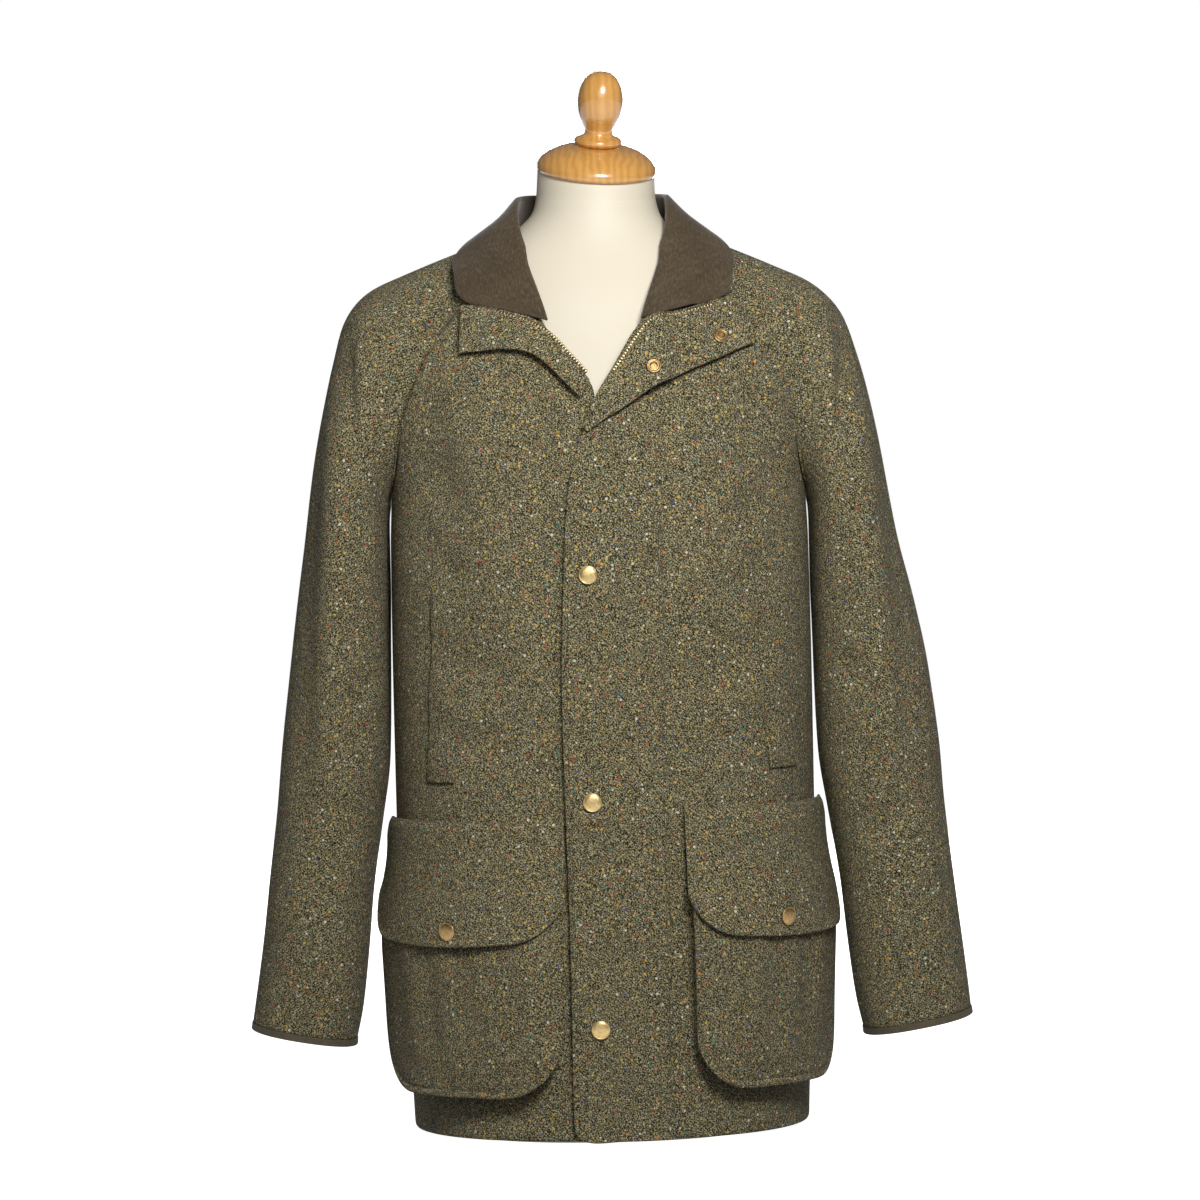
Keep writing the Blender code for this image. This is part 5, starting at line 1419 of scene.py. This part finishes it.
# ---------------------------------------------------------- the coat ---------
cloths = {}
cloths["front_right"] = front_panel(-1, TWEED_TURNED)
cloths["front_left"] = front_panel(+1, TWEED_CLOTH)
cloths["back"] = back_panel()
cloths["sleeve_right"], cloths["cuff_binding_right"] = sleeve(-1, TWEED_TURNED)
cloths["sleeve_left"], cloths["cuff_binding_left"] = sleeve(+1, TWEED_TURNED)
cloths["storm_flap"] = storm_flap()
RIGHT_LAPEL = (LAPEL_RIGHT, right_lapel_lift, right_stand)
LEFT_LAPEL = (LAPEL_LEFT, left_lapel_lift, left_stand)
cloths["lapel_right"] = lapel("lapel_right", *RIGHT_LAPEL, TWEED_TURNED, flip=False)
cloths["lapel_left"] = lapel("lapel_left", *LEFT_LAPEL, TWEED_CLOTH, flip=True)
cloths["collar"] = collar()
right_pocket, left_pocket = (named(POCKET_COLUMNS, row) for row in POCKETS)
cloths["pocket_bag_right"] = bag(right_pocket, TWEED_TURNED)
cloths["pocket_bag_left"] = bag(left_pocket, TWEED_CLOTH)
cloths["pocket_flap_right"] = pocket_flap(right_pocket, TWEED_TURNED)
cloths["pocket_flap_left"] = pocket_flap(left_pocket, TWEED_CLOTH)
right_welt, left_welt = (named(WELT_COLUMNS, row) for row in WELTS)
cloths["welt_right"] = welt(right_welt, TWEED_TURNED)
cloths["welt_left"] = welt(left_welt, TWEED_CLOTH)

# --------------------------------------------------------- fasteners ---------
for name, (x, height) in zip(("flap_snap_top", "flap_snap_middle", "flap_snap_low"), FLAP_SNAPS):
    from_edge = x - storm_flap_free(height)
    point, normal = seam_line(storm_flap_surface, from_edge, height)
    snap_cap(name, point + normal * SEAT, normal, BRASS_LIT_COPY)
snapped = zip(("pocket_snap_right", "pocket_snap_left"), (right_pocket, left_pocket), POCKET_SNAPS)
for name, pocket, (x, height) in snapped:
    point, normal = body_frame(turn_of(x, height), np.asarray(height, float))
    place = on_front(x, height, pocket_flap_lift(pocket, height) + DOUBLE + 1.6 * SEAT)
    # The pocket snaps take the darker brass copy: painted shade, as they face sideways.
    snap_cap(name, place, normal, BRASS_SHADED_COPY)
lapel_mesh = cloths["lapel_left"].data
lapel_faces = BVHTree.FromPolygons([corner.co for corner in lapel_mesh.vertices],
                                   [tuple(face.vertices) for face in lapel_mesh.polygons])
for name, (x, height) in zip(("ring_socket_outer", "ring_socket_inner"), RING_SOCKETS):
    place, normal, _, _ = lapel_faces.ray_cast(Vector((x, -1.0, height)), Vector((0, 1, 0)))
    if normal.y > 0:
        normal = -normal
    ring_socket(name, place + normal * RING_LIFT, normal)

zip_half("zip_half_right", ZIP_RIGHT, lambda x: np.full_like(x, ZIP_ON_RIGHT))
zip_half("zip_half_left", ZIP_LEFT, lambda x: left_lapel_lift(x, 0.1) + DOUBLE + EDGE_LIFT)
for name, finish in (("zip_closed", BRASS_TEETH), ("zip_slider", BRASS_LIT_COPY), ("zip_pull", BRASS_LIT_COPY)):
    hidden = bpy.data.objects[name]
    for slot in hidden.material_slots:
        slot.material = finish

# ---------------------------------------------------------- stitching --------
down = np.linspace(HEM + 0.008, 0.655, 260)
sew("storm_flap_stitches", [
    seam_line(storm_flap_surface, 0.0052, down),
    seam_line(storm_flap_surface, FLAP_SEWN - 0.0042 - storm_flap_free(down), down),
])
sew("front_right_stitches", [
    seam_line(on_front, np.linspace(-0.0376, -0.0470, 60), np.linspace(0.500, 0.705, 60)),
])
along = np.linspace(0.02, 0.99, 90)
sew("lapel_stitches", [seam_line(partial(lapel_surface, *edge), along, 0.84) for edge in (RIGHT_LAPEL, LEFT_LAPEL)])
sew("pocket_stitches", [
    line for pocket in (right_pocket, left_pocket) for line in [*flap_seams(pocket), bag_seam(pocket)]
])
sew("welt_stitches", [line for row in (right_welt, left_welt) for line in welt_seams(row)])

dress_form()
beech_pieces()

# ------------------------------------------------------ light and floor ------
for row in (named(LIGHT_COLUMNS, light) for light in LIGHTS):
    lamp = bpy.data.lights.new(row["name"], "AREA")
    lamp.energy, lamp.size = row["power"], row["size"]
    item = bpy.data.objects.new(row["name"], lamp)
    item.location = row["place"]
    toward = Vector((0, 0, row["aim_height"])) - Vector(row["place"])
    item.rotation_euler = toward.to_track_quat("-Z", "Y").to_euler()
    bpy.context.scene.collection.objects.link(item)

bpy.ops.mesh.primitive_plane_add(size=FLOOR_SIZE, location=(0, 0, -0.0005))
floor = bpy.context.object
floor.name = "pale_floor"
floor.data.materials.append(floor_finish())
floor.visible_diffuse = False

bpy.context.scene.view_settings.view_transform = "Standard"
world = bpy.data.worlds.new("plain_white")
bpy.context.scene.world = world
world.use_nodes = True
nodes, links = world.node_tree.nodes, world.node_tree.links
ground = nodes["Background"]
seen = nodes.new("ShaderNodeBackground")
for white, strength in ((ground, SOFT_LIGHT), (seen, 1.0)):
    white.inputs["Color"].default_value = shade(1, 1, 1)
    white.inputs["Strength"].default_value = strength
path = nodes.new("ShaderNodeLightPath")
choose = nodes.new("ShaderNodeMixShader")
links.new(path.outputs["Is Camera Ray"], choose.inputs[0])
links.new(ground.outputs[0], choose.inputs[1])
links.new(seen.outputs[0], choose.inputs[2])
links.new(choose.outputs[0], nodes["World Output"].inputs["Surface"])
